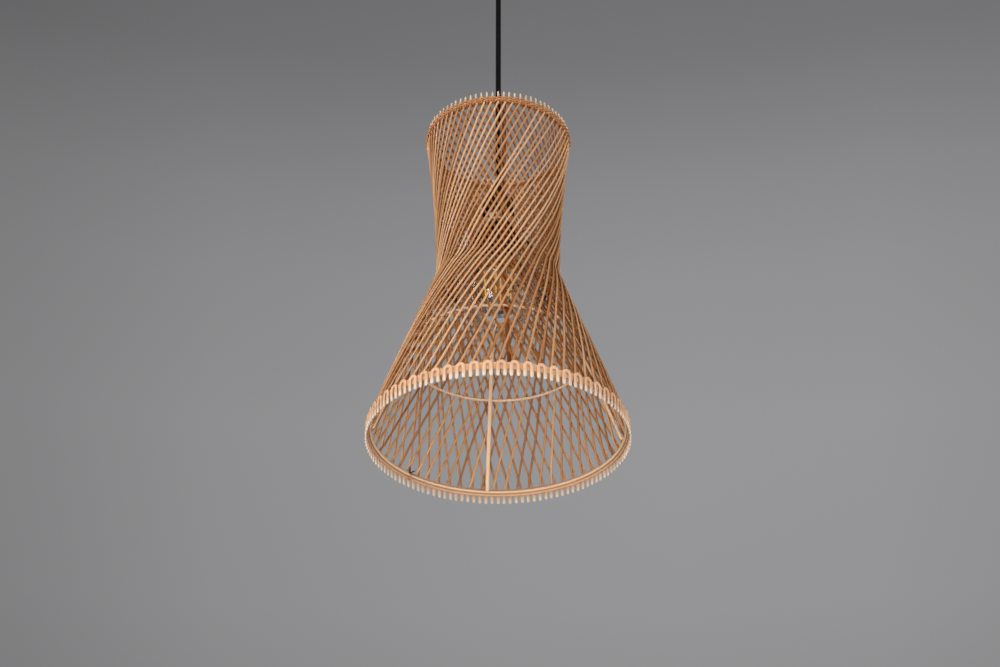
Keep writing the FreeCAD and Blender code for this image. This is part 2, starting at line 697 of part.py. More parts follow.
hub = solid("Cylinder", "hub_disc", {"Radius": "hub_outer", "Height": "hub_sheet"},
            z=at_height("flange_height - 0.05 - hub_sheet"))
hub_hole = solid("Cylinder", "hub_hole", {"Radius": "hub_inner", "Height": "hub_sheet + 2"},
                 z=at_height("flange_height - 1.05 - hub_sheet"))
hub_ring = taken_from("hub_ring", hub, [hub_hole])
waist_ring = torus("waist_ring", "waist_ring_radius", "waist_ring_diameter", at_height("waist_height"))
arm_start = Vector(value_of("hub_outer - 1.2"), 0, value_of("flange_height - 0.05 - hub_sheet / 2"))
arm_end = Vector(value_of("waist_ring_radius - 0.6"), 0, value_of("waist_height + 0.6"))
arm_way = arm_end - arm_start
arms = []
for quarter in range(4):
    angle = dim("rib_turn") + 45.0 + 90.0 * quarter
    arm = solid("Cylinder", "spider_arm_%d" % quarter, {"Radius": "arm_diameter / 2"})
    arm.Height = arm_way.Length
    spin = Rotation(Vector(0, 0, 1), angle)
    lean = spin.multiply(Rotation(Vector(0, 0, 1), arm_way))
    base = spin.multVec(arm_start)
    arm.Placement = Placement(Vector(base.x, base.y, base.z), lean)
    place(arm, str(base.x), str(base.y), at_height(str(base.z)))
    arms.append(arm)
node("carrier_spider", joined("spider_fuse", [hub_ring, waist_ring] + arms))

node("bottom_hoop", torus("bottom_hoop", "bottom_hoop_radius", "bottom_hoop_diameter", at_height("0")))
node("middle_hoop", torus("middle_hoop", "middle_hoop_radius", "middle_hoop_diameter",
                          at_height("middle_hoop_height")))
node("top_hoop", torus("top_hoop", "top_hoop_radius", "top_hoop_diameter", at_height("top_hoop_height")))
band_inside = "bottom_band_radius - bottom_band_thickness / 2"
band_outside = "bottom_band_radius + bottom_band_thickness / 2"
turned("bottom_band", [
    (band_inside, "-bottom_band_edge"),
    (band_inside + " + bottom_band_edge", "0"),
    (band_outside + " - bottom_band_edge", "0"),
    (band_outside, "-bottom_band_edge"),
    (band_outside, "bottom_band_edge - bottom_band_height"),
    (band_outside + " - bottom_band_edge", "-bottom_band_height"),
    (band_inside + " + bottom_band_edge", "-bottom_band_height"),
    (band_inside, "bottom_band_edge - bottom_band_height"),
], z=at_height("bottom_band_top"))
band_rows = [
    torus("top_band_lower", "top_band_radius", "top_band_diameter", at_height("top_height + 1.6")),
    torus("top_band_middle", "top_band_radius", "top_band_diameter", at_height("top_height + 3.8")),
    torus("top_band_upper", "top_band_radius", "top_band_diameter", at_height("top_height + 6.0")),
]
group("top_band", band_rows)


def weave_radius(height):
    """The outer strands' radius at a height above the bottom hoop."""
    waist = dim("waist_radius")
    waist_height = dim("waist_height")
    if height <= waist_height:
        return dim("foot_radius") + (waist - dim("foot_radius")) * height / waist_height
    spread = math.sqrt(dim("top_radius") ** 2 - waist ** 2)
    share = (height - waist_height) / (dim("top_height") - waist_height)
    return math.hypot(waist, spread * share)


rib_count = 4
rib_heights = [-1.5, dim("middle_hoop_height"), dim("waist_height")]
upper_steps = 6
rib_top = dim("top_hoop_height") + 3.6
for step in range(1, upper_steps + 1):
    rib_heights.append(dim("waist_height") + (rib_top - dim("waist_height")) * step / upper_steps)
# A rib stands a little clear of each hoop that it passes.
rib_ease = {rib_heights[0]: -1.1, rib_heights[1]: 0.45, rib_heights[-1]: 0.5, rib_heights[-2]: 0.3}
rib_line = []
for height in rib_heights:
    inset = dim("rib_inset")
    inset += rib_ease.get(height, 0.0)
    rib_line.append((weave_radius(height) - inset, height))
for quarter, name in enumerate(("right", "far", "left", "near")):
    rib_body = doc.addObject("PartDesign::Body", "rib_%s_body" % name)
    side_view = new_sketch(rib_body, "XZ_Plane", "rib_%s_side" % name)
    corners = [Vector(r, h, 0) for r, h in rib_line]
    corners += [Vector(r - dim("rib_thickness"), h, 0) for r, h in reversed(rib_line)]
    for index, corner in enumerate(corners):
        following = corners[(index + 1) % len(corners)]
        side_view.addGeometry(Part.LineSegment(corner, following), False)
    for index in range(len(corners)):
        side_view.addConstraint(Sketcher.Constraint("Coincident", index, 2, (index + 1) % len(corners), 1))
    stick = rib_body.newObject("PartDesign::Pad", "rib_%s_stick" % name)
    stick.Profile = side_view
    stick.SideType = "Symmetric"
    stick.setExpression("Length", bind("rib_width"))
    rib_bearing = dim("rib_turn") + 90.0 * quarter
    rib_body.Placement = Placement(Vector(0, 0, 0), Rotation(Vector(0, 0, 1), rib_bearing))
    place(rib_body, z=at_height("0"))
    node("rib_" + name, rib_body)

# ---------------------------------------------------------------- woven strands

# Each strand follows the shade's surface: its radius times the sine of its lean stays the
# same, so it lies steeply at the rim and leans most at the waist.  The outer and inner
# layers lean opposite ways, and draw together above the flat hoop of the bottom rim.

MERGE_HEIGHT = 12.0
STEPS = 2000


def strand_points(layer):
    """Corner points of a strand of the outer (0) or inner (1) layer."""
    constant = dim("winding_constant")
    top = dim("top_height")
    start = 0.2
    foot = dim("strand_foot")
    angle = 0.0
    heights = [start + (top - start) * index / STEPS for index in range(STEPS + 1)]
    angles = [0.0]
    for low, high in zip(heights[:-1], heights[1:]):
        middle = weave_radius((low + high) / 2)
        rise = high - low
        run = weave_radius(high) - weave_radius(low)
        angle += constant / (middle * math.sqrt(middle ** 2 - constant ** 2)) * math.hypot(rise, run)
        angles.append(angle)
    picks = [foot, (foot + MERGE_HEIGHT) / 2, MERGE_HEIGHT]
    waist_height = dim("waist_height")
    cone_steps = 7
    for step in range(1, cone_steps + 1):
        share = 1.0 - (1.0 - step / cone_steps) ** 1.25
        picks.append(MERGE_HEIGHT + (waist_height - MERGE_HEIGHT) * share)
    upper = 11
    for step in range(1, upper + 1):
        picks.append(waist_height + (top - waist_height) * step / upper)
    turn = 1.0 if layer == 0 else -1.0
    half_pitch = math.pi / dim("strand_count")
    points = []
    for height in picks:
        position = (height - start) / (top - start) * STEPS
        low = min(int(position), STEPS - 1)
        swing = angles[low] + (angles[low + 1] - angles[low]) * (position - low)
        radius = weave_radius(height) - layer * dim("family_gap")
        if height < MERGE_HEIGHT:
            share = (height - foot) / (MERGE_HEIGHT - foot)
            radius = dim("rim_radius") + (radius - dim("rim_radius")) * share
        bearing = turn * swing + layer * half_pitch
        points.append(Vector(radius * math.cos(bearing), radius * math.sin(bearing), height))
    return points


def strand(layer):
    """One strand as straight runs with mitred corners."""
    points = strand_points(layer)
    wire = Part.makePolygon(points)
    cane = round_sweep(wire, points[0], points[1] - points[0], dim("strand_diameter"), corner=True)
    return cane, wire.Length


count = int(dim("strand_count"))
for layer, label in ((0, "outer_strands"), (1, "inner_strands")):
    master, length = strand(layer)
    expected = math.pi * dim("strand_diameter") ** 2 / 4 * length
    print("%s: one strand %.1f mm long, volume %.1f of %.1f mm3" % (label, length, master.Volume, expected))
    shape_node(label, Part.makeCompound(turned_copies(master, count)), z="-drop_to_hoop")

# ---------------------------------------------------------------- rims

half_width = value_of("loop_width / 2")
leg = dim("loop_leg")
arch_height = dim("loop_top") - half_width
foot = dim("loop_top") - dim("loop_length")
thickness = dim("loop_thickness")
arch_outer = Part.Arc(Vector(0, half_width, arch_height), Vector(0, 0, dim("loop_top")),
                      Vector(0, -half_width, arch_height)).toShape()
inner_half = half_width - leg
arch_inner = Part.Arc(Vector(0, -inner_half, arch_height), Vector(0, 0, arch_height + inner_half),
                      Vector(0, inner_half, arch_height)).toShape()


def leg_end(side):
    """The rounded foot of one leg."""
    outer = Vector(0, side * half_width, foot + leg / 2)
    inner = Vector(0, side * inner_half, foot + leg / 2)
    tip = Vector(0, side * (half_width - leg / 2), foot)
    return outer, tip, inner


right_outer, right_tip, right_inner = leg_end(1)
left_outer, left_tip, left_inner = leg_end(-1)
loop_edges = [
    arch_outer,
    Part.LineSegment(Vector(0, -half_width, arch_height), left_outer).toShape(),
    Part.Arc(left_outer, left_tip, left_inner).toShape(),
    Part.LineSegment(left_inner, Vector(0, -inner_half, arch_height)).toShape(),
    arch_inner,
    Part.LineSegment(Vector(0, inner_half, arch_height), right_inner).toShape(),
    Part.Arc(right_inner, right_tip, right_outer).toShape(),
    Part.LineSegment(right_outer, Vector(0, half_width, arch_height)).toShape(),
]
loop_face = Part.Face(Part.Wire(loop_edges))
loop_solid = loop_face.extrude(Vector(thickness, 0, 0))
loop_solid.translate(Vector(dim("loop_radius") - thickness / 2, 0, 0))
loops = turned_copies(loop_solid, int(dim("loop_count")), 180.0 / dim("loop_count") / 2)
shape_node("bottom_loops", Part.makeCompound(loops), z=at_height("0"))

peg_radius = dim("peg_diameter") / 2
peg_stick = Part.makeCylinder(peg_radius, dim("peg_height") - peg_radius,
                              Vector(dim("peg_radius"), 0, dim("peg_base")))
peg_tip = Part.makeSphere(peg_radius, Vector(dim("peg_radius"), 0,
                                             dim("peg_base") + dim("peg_height") - peg_radius))
peg = peg_stick.fuse(peg_tip).removeSplitter()
shape_node("top_pegs", Part.makeCompound(turned_copies(peg, int(dim("peg_count")))), z=at_height("0"))

# The tie: a strand end hooked round the bottom hoop as far as the flat hoop, with its two tails.
tie_bearing = 360.0 / dim("strand_count") * 24.25
tie_wire = 0.5
tie_turn = dim("bottom_hoop_diameter") / 2 + tie_wire + 0.1
tail_length = 9.0
tie_ring = Part.makeTorus(tie_turn, tie_wire, Vector(0, 0, 0), Vector(0, 1, 0))
band_side = Part.makeBox(3.0, 4.0, 8.0, Vector(1.4, -2.0, -4.0))
tie_ring = tie_ring.cut(band_side)
tie_tails = []
for lean in (0.45, -0.5):
    tail_way = Vector(-0.35, lean, 1.0).normalize()
    tie_tails.append(Part.makeCylinder(tie_wire, tail_length, Vector(-2.2, 0, 1.0), tail_way))
tie = tie_ring.fuse(tie_tails)
tie.translate(Vector(dim("bottom_hoop_radius"), 0, 0))
tie.rotate(Vector(0, 0, 0), Vector(0, 0, 1), tie_bearing)
shape_node("hoop_tie", tie, z=at_height("0"))

# ---------------------------------------------------------------- check and write

doc.recompute()
problems = []
for thing in doc.Objects:
    state = [text for text in thing.State if text in ("Invalid", "Error")]
    if state:
        problems.append("%s: %s" % (thing.Name, state))
for label, thing in NODES.items():
    shape = thing.Shape
    if shape.isNull() or not shape.isValid():
        problems.append("%s: shape is null or not valid" % label)
    elif not shape.Solids:
        problems.append("%s: no solid" % label)
    elif min(part.Volume for part in shape.Solids) <= 0:
        problems.append("%s: a solid has no volume" % label)
if problems:
    raise RuntimeError("; ".join(problems))

os.makedirs("parts", exist_ok=True)
for label, thing in NODES.items():
    shape = thing.Shape
    shape.exportStep("parts/%s.step" % label)
    box = shape.BoundBox
    print("%-24s %3d solids %10.1f mm3  z %.1f..%.1f  r %.1f" % (
        label, len(shape.Solids), shape.Volume, box.ZMin, box.ZMax, box.XMax))
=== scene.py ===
import json
import math

import bpy
import numpy as np
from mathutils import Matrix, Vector


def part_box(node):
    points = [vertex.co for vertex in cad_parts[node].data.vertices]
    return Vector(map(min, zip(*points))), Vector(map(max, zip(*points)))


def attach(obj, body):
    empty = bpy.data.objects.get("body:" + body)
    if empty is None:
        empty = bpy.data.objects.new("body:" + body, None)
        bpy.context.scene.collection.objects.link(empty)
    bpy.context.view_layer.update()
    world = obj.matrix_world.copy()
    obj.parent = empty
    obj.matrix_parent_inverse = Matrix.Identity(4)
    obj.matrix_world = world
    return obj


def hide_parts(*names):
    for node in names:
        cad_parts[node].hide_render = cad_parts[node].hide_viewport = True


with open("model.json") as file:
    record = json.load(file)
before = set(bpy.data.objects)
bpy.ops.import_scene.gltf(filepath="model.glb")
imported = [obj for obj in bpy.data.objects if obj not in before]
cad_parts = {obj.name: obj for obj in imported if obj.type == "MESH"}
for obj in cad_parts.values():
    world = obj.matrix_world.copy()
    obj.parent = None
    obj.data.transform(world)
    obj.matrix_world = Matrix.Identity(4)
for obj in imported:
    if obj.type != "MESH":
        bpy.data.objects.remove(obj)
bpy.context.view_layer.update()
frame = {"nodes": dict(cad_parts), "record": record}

MM = 0.001
RNG = np.random.default_rng(11)

# The length of surface that one unit of the UV map covers, and how far a tint moves the grain.
UV_LENGTH = 10 * MM
UV_SHIFT = 37.0


# ---------------------------------------------------------------- sizes from the frame

def middle(node, axis):
    """The middle of a CAD node's box along one axis."""
    low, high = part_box(node)
    return (low[axis] + high[axis]) / 2


def reach(node):
    """Half of a CAD node's width."""
    low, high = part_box(node)
    return (high[0] - low[0]) / 2


HOOP_Z = middle("bottom_hoop", 2)
WAIST_WIRE = 1.5 * MM
WAIST_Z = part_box("carrier_spider")[0].z + WAIST_WIRE
WAIST_RING = reach("carrier_spider") - WAIST_WIRE
TOP_HOOP_Z = middle("top_hoop", 2)
WEAVE_TOP = TOP_HOOP_Z - 2.4 * MM
FOOT_RADIUS = 149.8 * MM
RIM_RADIUS = 147.6 * MM
STRAND_FOOT = HOOP_Z + 5.0 * MM
RIM_MERGE = 7 * MM
WAIST_RADIUS = WAIST_RING + 6.0 * MM
TOP_RADIUS = 89.6 * MM
STRAND = 1.4 * MM
STRAND_FLAT = 0.84
LAYER_GAP = 2.6 * MM
STRANDS = 64
WINDING = 35.5 * MM
RIB_TURN = math.radians(5.2)
GLOBE_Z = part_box("bulb_glass")[0].z + reach("bulb_glass")
GLOBE_RADIUS = reach("bulb_glass")


def weave_radius(z):
    """The outer layer's radius at a height in the frame."""
    if z <= WAIST_Z:
        share = (z - HOOP_Z) / (WAIST_Z - HOOP_Z)
        return FOOT_RADIUS + (WAIST_RADIUS - FOOT_RADIUS) * share
    spread = math.sqrt(TOP_RADIUS ** 2 - WAIST_RADIUS ** 2)
    return math.hypot(WAIST_RADIUS, spread * (z - WAIST_Z) / (WEAVE_TOP - WAIST_Z))


def eased_radius(z, reach_z=7 * MM):
    """The same, rounded where the strands bend over the waist ring."""
    span = [weave_radius(z + reach_z * step / 4) for step in range(-4, 5)]
    weights = [1, 2, 3, 4, 5, 4, 3, 2, 1]
    if z - reach_z < HOOP_Z or z + reach_z > WEAVE_TOP:
        return weave_radius(z)
    return float(np.dot(span, weights) / sum(weights))


# ---------------------------------------------------------------- mesh building

class Shell:
    """Collects tubes and lathed forms into one mesh, with a UV map and a tint for each form."""

    def __init__(self):
        self.verts, self.quads, self.polys = [], [], []
        self.uv_quads, self.uv_polys, self.tints = [], [], []
        self.count = 0

    def grid(self, points, u, v, tint, close_u=True, close_v=False):
        """points[row, column]; u runs along a row and v from row to row."""
        rows, columns = points.shape[:2]
        index = np.arange(rows * columns).reshape(rows, columns) + self.count
        self.verts.append(points.reshape(-1, 3))
        self.tints.append(np.repeat(np.broadcast_to(tint, (rows,)), columns))
        self.count += rows * columns
        row_last = rows if close_v else rows - 1
        column_last = columns if close_u else columns - 1
        r0, c0 = np.meshgrid(np.arange(row_last), np.arange(column_last), indexing="ij")
        r1, c1 = (r0 + 1) % rows, (c0 + 1) % columns
        quads = np.stack([index[r0, c0], index[r0, c1], index[r1, c1], index[r1, c0]], -1).reshape(-1, 4)
        self.quads.append(quads)
        u0, u1 = u[c0], np.where(c1 == 0, u[-1] + (u[-1] - u[-2]), u[c1])
        v0, v1 = v[r0], np.where(r1 == 0, v[-1] + (v[-1] - v[-2]), v[r1])
        corners = np.stack([
            np.stack([u0, v0], -1), np.stack([u1, v0], -1),
            np.stack([u1, v1], -1), np.stack([u0, v1], -1),
        ], -2)
        self.uv_quads.append(corners.reshape(-1, 4, 2))
        return index

    def cap(self, ring, flip=False):
        """One face over a ring of vertices."""
        ring = list(ring)[::-1] if flip else list(ring)
        self.polys.append(ring)
        corners = range(len(ring))
        self.uv_polys.append([(0.5 + 0.05 * math.cos(k), 0.5 + 0.05 * math.sin(k)) for k in corners])

    def tube(self, path, radius, sides=8, ends="round", closed=False, flat=None, normal=None, tint=0.5):
        """A bar along a path; flat squeezes it along the normal."""
        path = np.asarray(path, float)
        radius = np.broadcast_to(np.asarray(radius, float), (len(path),)).copy()
        if closed:
            tangent = np.roll(path, -1, 0) - np.roll(path, 1, 0)
        else:
            tangent = np.gradient(path, axis=0)
        tangent /= np.linalg.norm(tangent, axis=1)[:, None]
        if normal is None:
            normal = np.zeros_like(path)
            axis = np.eye(3)[np.argmin(np.abs(tangent[0]))]
            side = np.cross(tangent[0], axis)
            normal[0] = side / np.linalg.norm(side)
            for k in range(1, len(path)):
                side = normal[k - 1] - tangent[k] * np.dot(normal[k - 1], tangent[k])
                normal[k] = side / np.linalg.norm(side)
        else:
            normal = np.broadcast_to(np.asarray(normal, float), path.shape).copy()
            normal -= tangent * np.sum(normal * tangent, 1)[:, None]
            normal /= np.linalg.norm(normal, axis=1)[:, None]
        cross = np.cross(tangent, normal)
        if ends == "round" and not closed:
            bulge = np.sin(np.array([0.12, 0.42, 0.72]) * math.pi / 2)
            back = np.sqrt(1 - bulge ** 2)
            first = [path[0] + tangent[0] * radius[0] * (back[0] - b) for b in back]
            last = [path[-1] - tangent[-1] * radius[-1] * (back[0] - b) for b in back[::-1]]
            keep = slice(1, -1)
            path = np.vstack([first, path[keep], last])
            normal = np.vstack([[normal[0]] * 3, normal[keep], [normal[-1]] * 3])
            cross = np.vstack([[cross[0]] * 3, cross[keep], [cross[-1]] * 3])
            radius = np.concatenate([radius[0] * bulge, radius[keep], radius[-1] * bulge[::-1]])
        angle = np.arange(sides) * 2 * math.pi / sides
        squeeze = 1.0 if flat is None else flat
        points = (
            path[:, None]
            + normal[:, None] * (np.cos(angle)[None, :, None] * radius[:, None, None] * squeeze)
            + cross[:, None] * (np.sin(angle)[None, :, None] * radius[:, None, None])
        )
        step = np.linalg.norm(np.diff(path, axis=0), axis=1)
        along = np.concatenate([[0.0], np.cumsum(step)]) / UV_LENGTH + tint * UV_SHIFT
        index = self.grid(points, angle / (2 * math.pi), along, tint, True, closed)
        if not closed:
            self.cap(index[0], flip=True)
            self.cap(index[-1])

    def lathe(self, outline, sides=48, closed=False, centre=(0.0, 0.0), tint=0.5):
        """A form turned about the vertical through centre from (radius, height) points."""
        outline = np.asarray(outline, float)
        angle = np.arange(sides) * 2 * math.pi / sides
        points = np.zeros((len(outline), sides, 3))
        points[..., 0] = centre[0] + outline[:, :1] * np.cos(angle)
        points[..., 1] = centre[1] + outline[:, :1] * np.sin(angle)
        points[..., 2] = outline[:, 1:2]
        step = np.linalg.norm(np.diff(outline, axis=0), axis=1)
        along = np.concatenate([[0.0], np.cumsum(step)]) / UV_LENGTH
        index = self.grid(points, angle / (2 * math.pi) * 8, along, tint, True, closed)
        if not closed:
            self.cap(index[0], flip=True)
            self.cap(index[-1])

    def build(self, name, material, body, replaces=(), slot=None, smooth=True):
        """The mesh object, riding on its body."""
        mesh = bpy.data.meshes.new(name)
        quads = np.concatenate(self.quads) if self.quads else np.zeros((0, 4), int)
        faces = quads.tolist() + self.polys
        mesh.from_pydata(np.concatenate(self.verts).tolist(), [], faces)
        layer = mesh.uv_layers.new(name="UVMap")
        flat = [np.concatenate(self.uv_quads).reshape(-1, 2)] if self.uv_quads else []
        flat += [np.asarray(corner, float) for corner in self.uv_polys]
        layer.data.foreach_set("uv", np.concatenate(flat).astype(np.float32).ravel())
        tint = mesh.attributes.new("tint", "FLOAT", "POINT")
        tint.data.foreach_set("value", np.concatenate(self.tints).astype(np.float32))
        mesh.validate()
        mesh.update()
        if smooth:
            mesh.shade_smooth()
        thing = bpy.data.objects.new(name, mesh)
        bpy.context.scene.collection.objects.link(thing)
        mesh.materials.append(material)
        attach(thing, body)
        if replaces:
            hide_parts(*replaces)
        return thing


def sharpen(thing, degrees=38):
    """Keeps corners sharper than this angle."""
    mesh = thing.data
    mesh.update()
    limit = math.cos(math.radians(degrees))
    normals = [polygon.normal.copy() for polygon in mesh.polygons]
    owners = {}
    for polygon in mesh.polygons:
        for key in polygon.edge_keys:
            owners.setdefault(key, []).append(polygon.index)
    sharp = [False] * len(mesh.edges)
    for edge in mesh.edges:
        pair = owners.get(edge.key, [])
        if len(pair) == 2 and normals[pair[0]].dot(normals[pair[1]]) < limit:
            sharp[edge.index] = True
    layer = mesh.attributes.get("sharp_edge") or mesh.attributes.new("sharp_edge", "BOOLEAN", "EDGE")
    layer.data.foreach_set("value", sharp)
    return thing


# ---------------------------------------------------------------- materials

def principled(name, roughness, metallic=0.0, specular=0.5, **extra):
    """A material and its shader, with uniform numbers on the shader's own sockets."""
    material = bpy.data.materials.new(name)
    material.use_nodes = True
    shader = material.node_tree.nodes["Principled BSDF"]
    shader.inputs["Roughness"].default_value = roughness
    shader.inputs["Metallic"].default_value = metallic
    shader.inputs["Specular IOR Level"].default_value = specular
    for socket, value in extra.items():
        shader.inputs[socket.replace("_", " ")].default_value = value
    return material, shader


def linear(r, g, b):
    """A linear colour from 0 to 255 display values."""
    colour = []
    for value in (r, g, b):
        share = value / 255
        colour.append(share / 12.92 if value <= 10 else ((share + 0.055) / 1.055) ** 2.4)
    return (*colour, 1.0)


def cane(name, light, dark, mark, roughness=0.5, gloss=0.5, fibre=0.35, marks=0.25, spread=0.8,
         bump=0.35, painted_shade=None, painted_shade_side=0.0, cut=None, cut_from=0.0, cut_to=0.0):
    """Cane with fibres along its length, blotches and flecks, and its own tint for each piece.

    light and dark are mixed by the tint, as far as spread, and mark colours the blotches. The colour of
    the side that the next layer covers is painted shade, put on the outward side where its side number is
    above 0 and on the inward side where it is below. cut is the colour of the cut tips, from one height to
    another."""
    material, shader = principled(name, roughness, specular=gloss)
    nodes, links = material.node_tree.nodes, material.node_tree.links
    uv = nodes.new("ShaderNodeUVMap")
    uv.uv_map = "UVMap"
    stretch = nodes.new("ShaderNodeMapping")
    stretch.inputs["Scale"].default_value = (9.0, 0.35, 1.0)
    links.new(uv.outputs["UV"], stretch.inputs["Vector"])
    fibres = nodes.new("ShaderNodeTexNoise")
    fibres.inputs["Scale"].default_value = 1.0
    fibres.inputs["Detail"].default_value = 5.0
    fibres.inputs["Roughness"].default_value = 0.65
    links.new(stretch.outputs["Vector"], fibres.inputs["Vector"])
    blotch_map = nodes.new("ShaderNodeMapping")
    blotch_map.inputs["Scale"].default_value = (1.2, 0.5, 1.0)
    links.new(uv.outputs["UV"], blotch_map.inputs["Vector"])
    blotch = nodes.new("ShaderNodeTexNoise")
    blotch.inputs["Scale"].default_value = 1.0
    blotch.inputs["Detail"].default_value = 3.0
    links.new(blotch_map.outputs["Vector"], blotch.inputs["Vector"])
    tint = nodes.new("ShaderNodeAttribute")
    tint.attribute_name = "tint"

    def mixed(kind, a, b, factor):
        """One colour mix."""
        mix = nodes.new("ShaderNodeMix")
        mix.data_type = "RGBA"
        mix.blend_type = kind
        for socket, value in (("Factor", factor), ("A", a), ("B", b)):
            target = [s for s in mix.inputs if s.name == socket and s.enabled][0]
            if isinstance(value, (int, float, tuple)):
                target.default_value = value
            else:
                links.new(value, target)
        return [s for s in mix.outputs if s.enabled][0]

    def ranged(value, low, high, to_low, to_high):
        """A value moved from one range to another, clamped."""
        node = nodes.new("ShaderNodeMapRange")
        node.inputs["From Min"].default_value = low
        node.inputs["From Max"].default_value = high
        node.inputs["To Min"].default_value = to_low
        node.inputs["To Max"].default_value = to_high
        links.new(value, node.inputs["Value"])
        return node.outputs["Result"]

    ground = mixed("MIX", light, dark, ranged(tint.outputs["Fac"], 0.0, 1.0, 0.0, spread))
    streaked = mixed("MULTIPLY", ground, mixed("MIX", dark, (1, 1, 1, 1), 0.45),
                     ranged(fibres.outputs["Fac"], 0.35, 0.75, 0.0, fibre))
    colour = mixed("MIX", streaked, mark, ranged(blotch.outputs["Fac"], 0.58, 0.78, 0.0, marks))
    # Painted shade on the side of each strand that the next layer covers.
    if painted_shade:
        parts = nodes.new("ShaderNodeSeparateXYZ")
        links.new(uv.outputs["UV"], parts.inputs[0])
        around = nodes.new("ShaderNodeMath")
        around.operation = "MULTIPLY"
        around.inputs[1].default_value = 2 * math.pi
        links.new(parts.outputs["X"], around.inputs[0])
        side = nodes.new("ShaderNodeMath")
        side.operation = "COSINE"
        links.new(around.outputs[0], side.inputs[0])
        low, high = (-0.35, 0.75) if painted_shade_side > 0 else (0.35, -0.75)
        colour = mixed("MIX", colour, painted_shade, ranged(side.outputs[0], low, high, 0.0, abs(painted_shade_side)))
    if cut:
        place = nodes.new("ShaderNodeTexCoord")
        parts = nodes.new("ShaderNodeSeparateXYZ")
        links.new(place.outputs["Object"], parts.inputs[0])
        colour = mixed("MIX", colour, cut, ranged(parts.outputs["Z"], cut_from, cut_to, 0.0, 0.85))
    links.new(colour, shader.inputs["Base Color"])
    relief = nodes.new("ShaderNodeBump")
    relief.inputs["Strength"].default_value = bump
    relief.inputs["Distance"].default_value = 0.0004
    links.new(fibres.outputs["Fac"], relief.inputs["Height"])
    links.new(relief.outputs["Normal"], shader.inputs["Normal"])
    return material


def grained(name, colour, second, scale, roughness, metallic=0.0, specular=0.5, bump=0.05, **extra):
    """A plain surface with fine grain in colour and relief."""
    material, shader = principled(name, roughness, metallic, specular, **extra)
    nodes, links = material.node_tree.nodes, material.node_tree.links
    place = nodes.new("ShaderNodeTexCoord")
    noise = nodes.new("ShaderNodeTexNoise")
    noise.inputs["Scale"].default_value = scale
    noise.inputs["Detail"].default_value = 4.0
    links.new(place.outputs["Object"], noise.inputs["Vector"])
    ramp = nodes.new("ShaderNodeValToRGB")
    ramp.color_ramp.elements[0].position = 0.25
    ramp.color_ramp.elements[0].color = colour
    ramp.color_ramp.elements[1].position = 0.75
    ramp.color_ramp.elements[1].color = second
    links.new(noise.outputs["Fac"], ramp.inputs["Fac"])
    links.new(ramp.outputs["Color"], shader.inputs["Base Color"])
    relief = nodes.new("ShaderNodeBump")
    relief.inputs["Strength"].default_value = bump
    relief.inputs["Distance"].default_value = 0.0003
    links.new(noise.outputs["Fac"], relief.inputs["Height"])
    links.new(relief.outputs["Normal"], shader.inputs["Normal"])
    return material


# Cane: light, dark and mark colours.
# Both layers carry painted shade on the side the other layer covers: the outer layer inward, the inner
# layer outward.
RATTAN = cane(
    "rattan", linear(225, 181, 139), linear(173, 110, 51), linear(92, 43, 9), spread=0.9, marks=0.5,
    painted_shade=linear(180, 111, 46), painted_shade_side=-0.65, gloss=0.55, roughness=0.42)
# The inner layer is a darker, more saturated copy of the same cane, as painted shade for the strands
# behind the outer layer.
RATTAN_INNER = cane(
    "rattan_inner", linear(229, 178, 120), linear(155, 90, 35), linear(80, 35, 6), spread=0.9, marks=0.5,
    painted_shade=linear(138, 73, 18), painted_shade_side=0.85, gloss=0.2)
PALE = cane(
    "pale_cane", linear(246, 210, 174), linear(232, 190, 150), linear(186, 132, 90),
    roughness=0.45, fibre=0.22, marks=0.18, spread=0.6, bump=0.25)
LOOP = cane(
    "loop_cane", linear(230, 188, 152), linear(214, 168, 130), linear(176, 122, 82),
    fibre=0.22, marks=0.2, spread=0.7, bump=0.25,
    cut=linear(226, 210, 192), cut_from=HOOP_Z - 5 * MM, cut_to=HOOP_Z - 11 * MM)
PEG = cane(
    "peg_cane", linear(208, 160, 118), linear(184, 134, 94), linear(150, 96, 56),
    fibre=0.25, marks=0.2, spread=0.7, bump=0.25,
    cut=linear(208, 188, 166), cut_from=TOP_HOOP_Z + 3 * MM, cut_to=TOP_HOOP_Z + 8 * MM)
# Its dark colour is mixed in along the seam under the round hoop, where it is painted shade, and at the
# rounded edges.
FOOT_BAND = cane(
    "foot_band_cane", linear(236, 190, 146), linear(112, 66, 30), linear(150, 98, 58),
    fibre=0.25, spread=1.0, bump=0.25)
BAND = cane("band_cane", linear(216, 156, 102), linear(176, 114, 66), linear(106, 58, 28), fibre=0.4)
DARK_CANE = cane(
    "dark_cane", linear(206, 148, 104), linear(50, 26, 12), linear(34, 18, 10), fibre=0.3, spread=1.0)

# Plastics, metals and sheaths: two colours, the grain's scale and the roughness.
BLACK_PLASTIC = grained("black_plastic", linear(22, 22, 23), linear(34, 33, 33), 900.0, 0.42, bump=0.08)
BLACK_STEEL = grained(
    "black_steel", linear(20, 20, 20), linear(30, 30, 31), 500.0, 0.36, Coat_Weight=0.3,
    Coat_Roughness=0.25)
ZINC = grained(
    "zinc_steel", linear(150, 152, 154), linear(178, 180, 182), 260.0, 0.34, metallic=1.0, bump=0.04)
BRASS = grained(
    "contact_brass", linear(196, 158, 92), linear(214, 178, 112), 320.0, 0.28, metallic=1.0, bump=0.04)
NICKEL = grained(
    "cap_metal", linear(176, 174, 168), linear(200, 198, 192), 300.0, 0.24, metallic=1.0, bump=0.03)
IVORY = grained("ivory_plastic", linear(222, 214, 196), linear(232, 225, 208), 700.0, 0.38)
CORD = grained(
    "cord_sheath", linear(10, 10, 11), linear(20, 20, 21), 1400.0, 0.2, specular=0.6, bump=0.04)
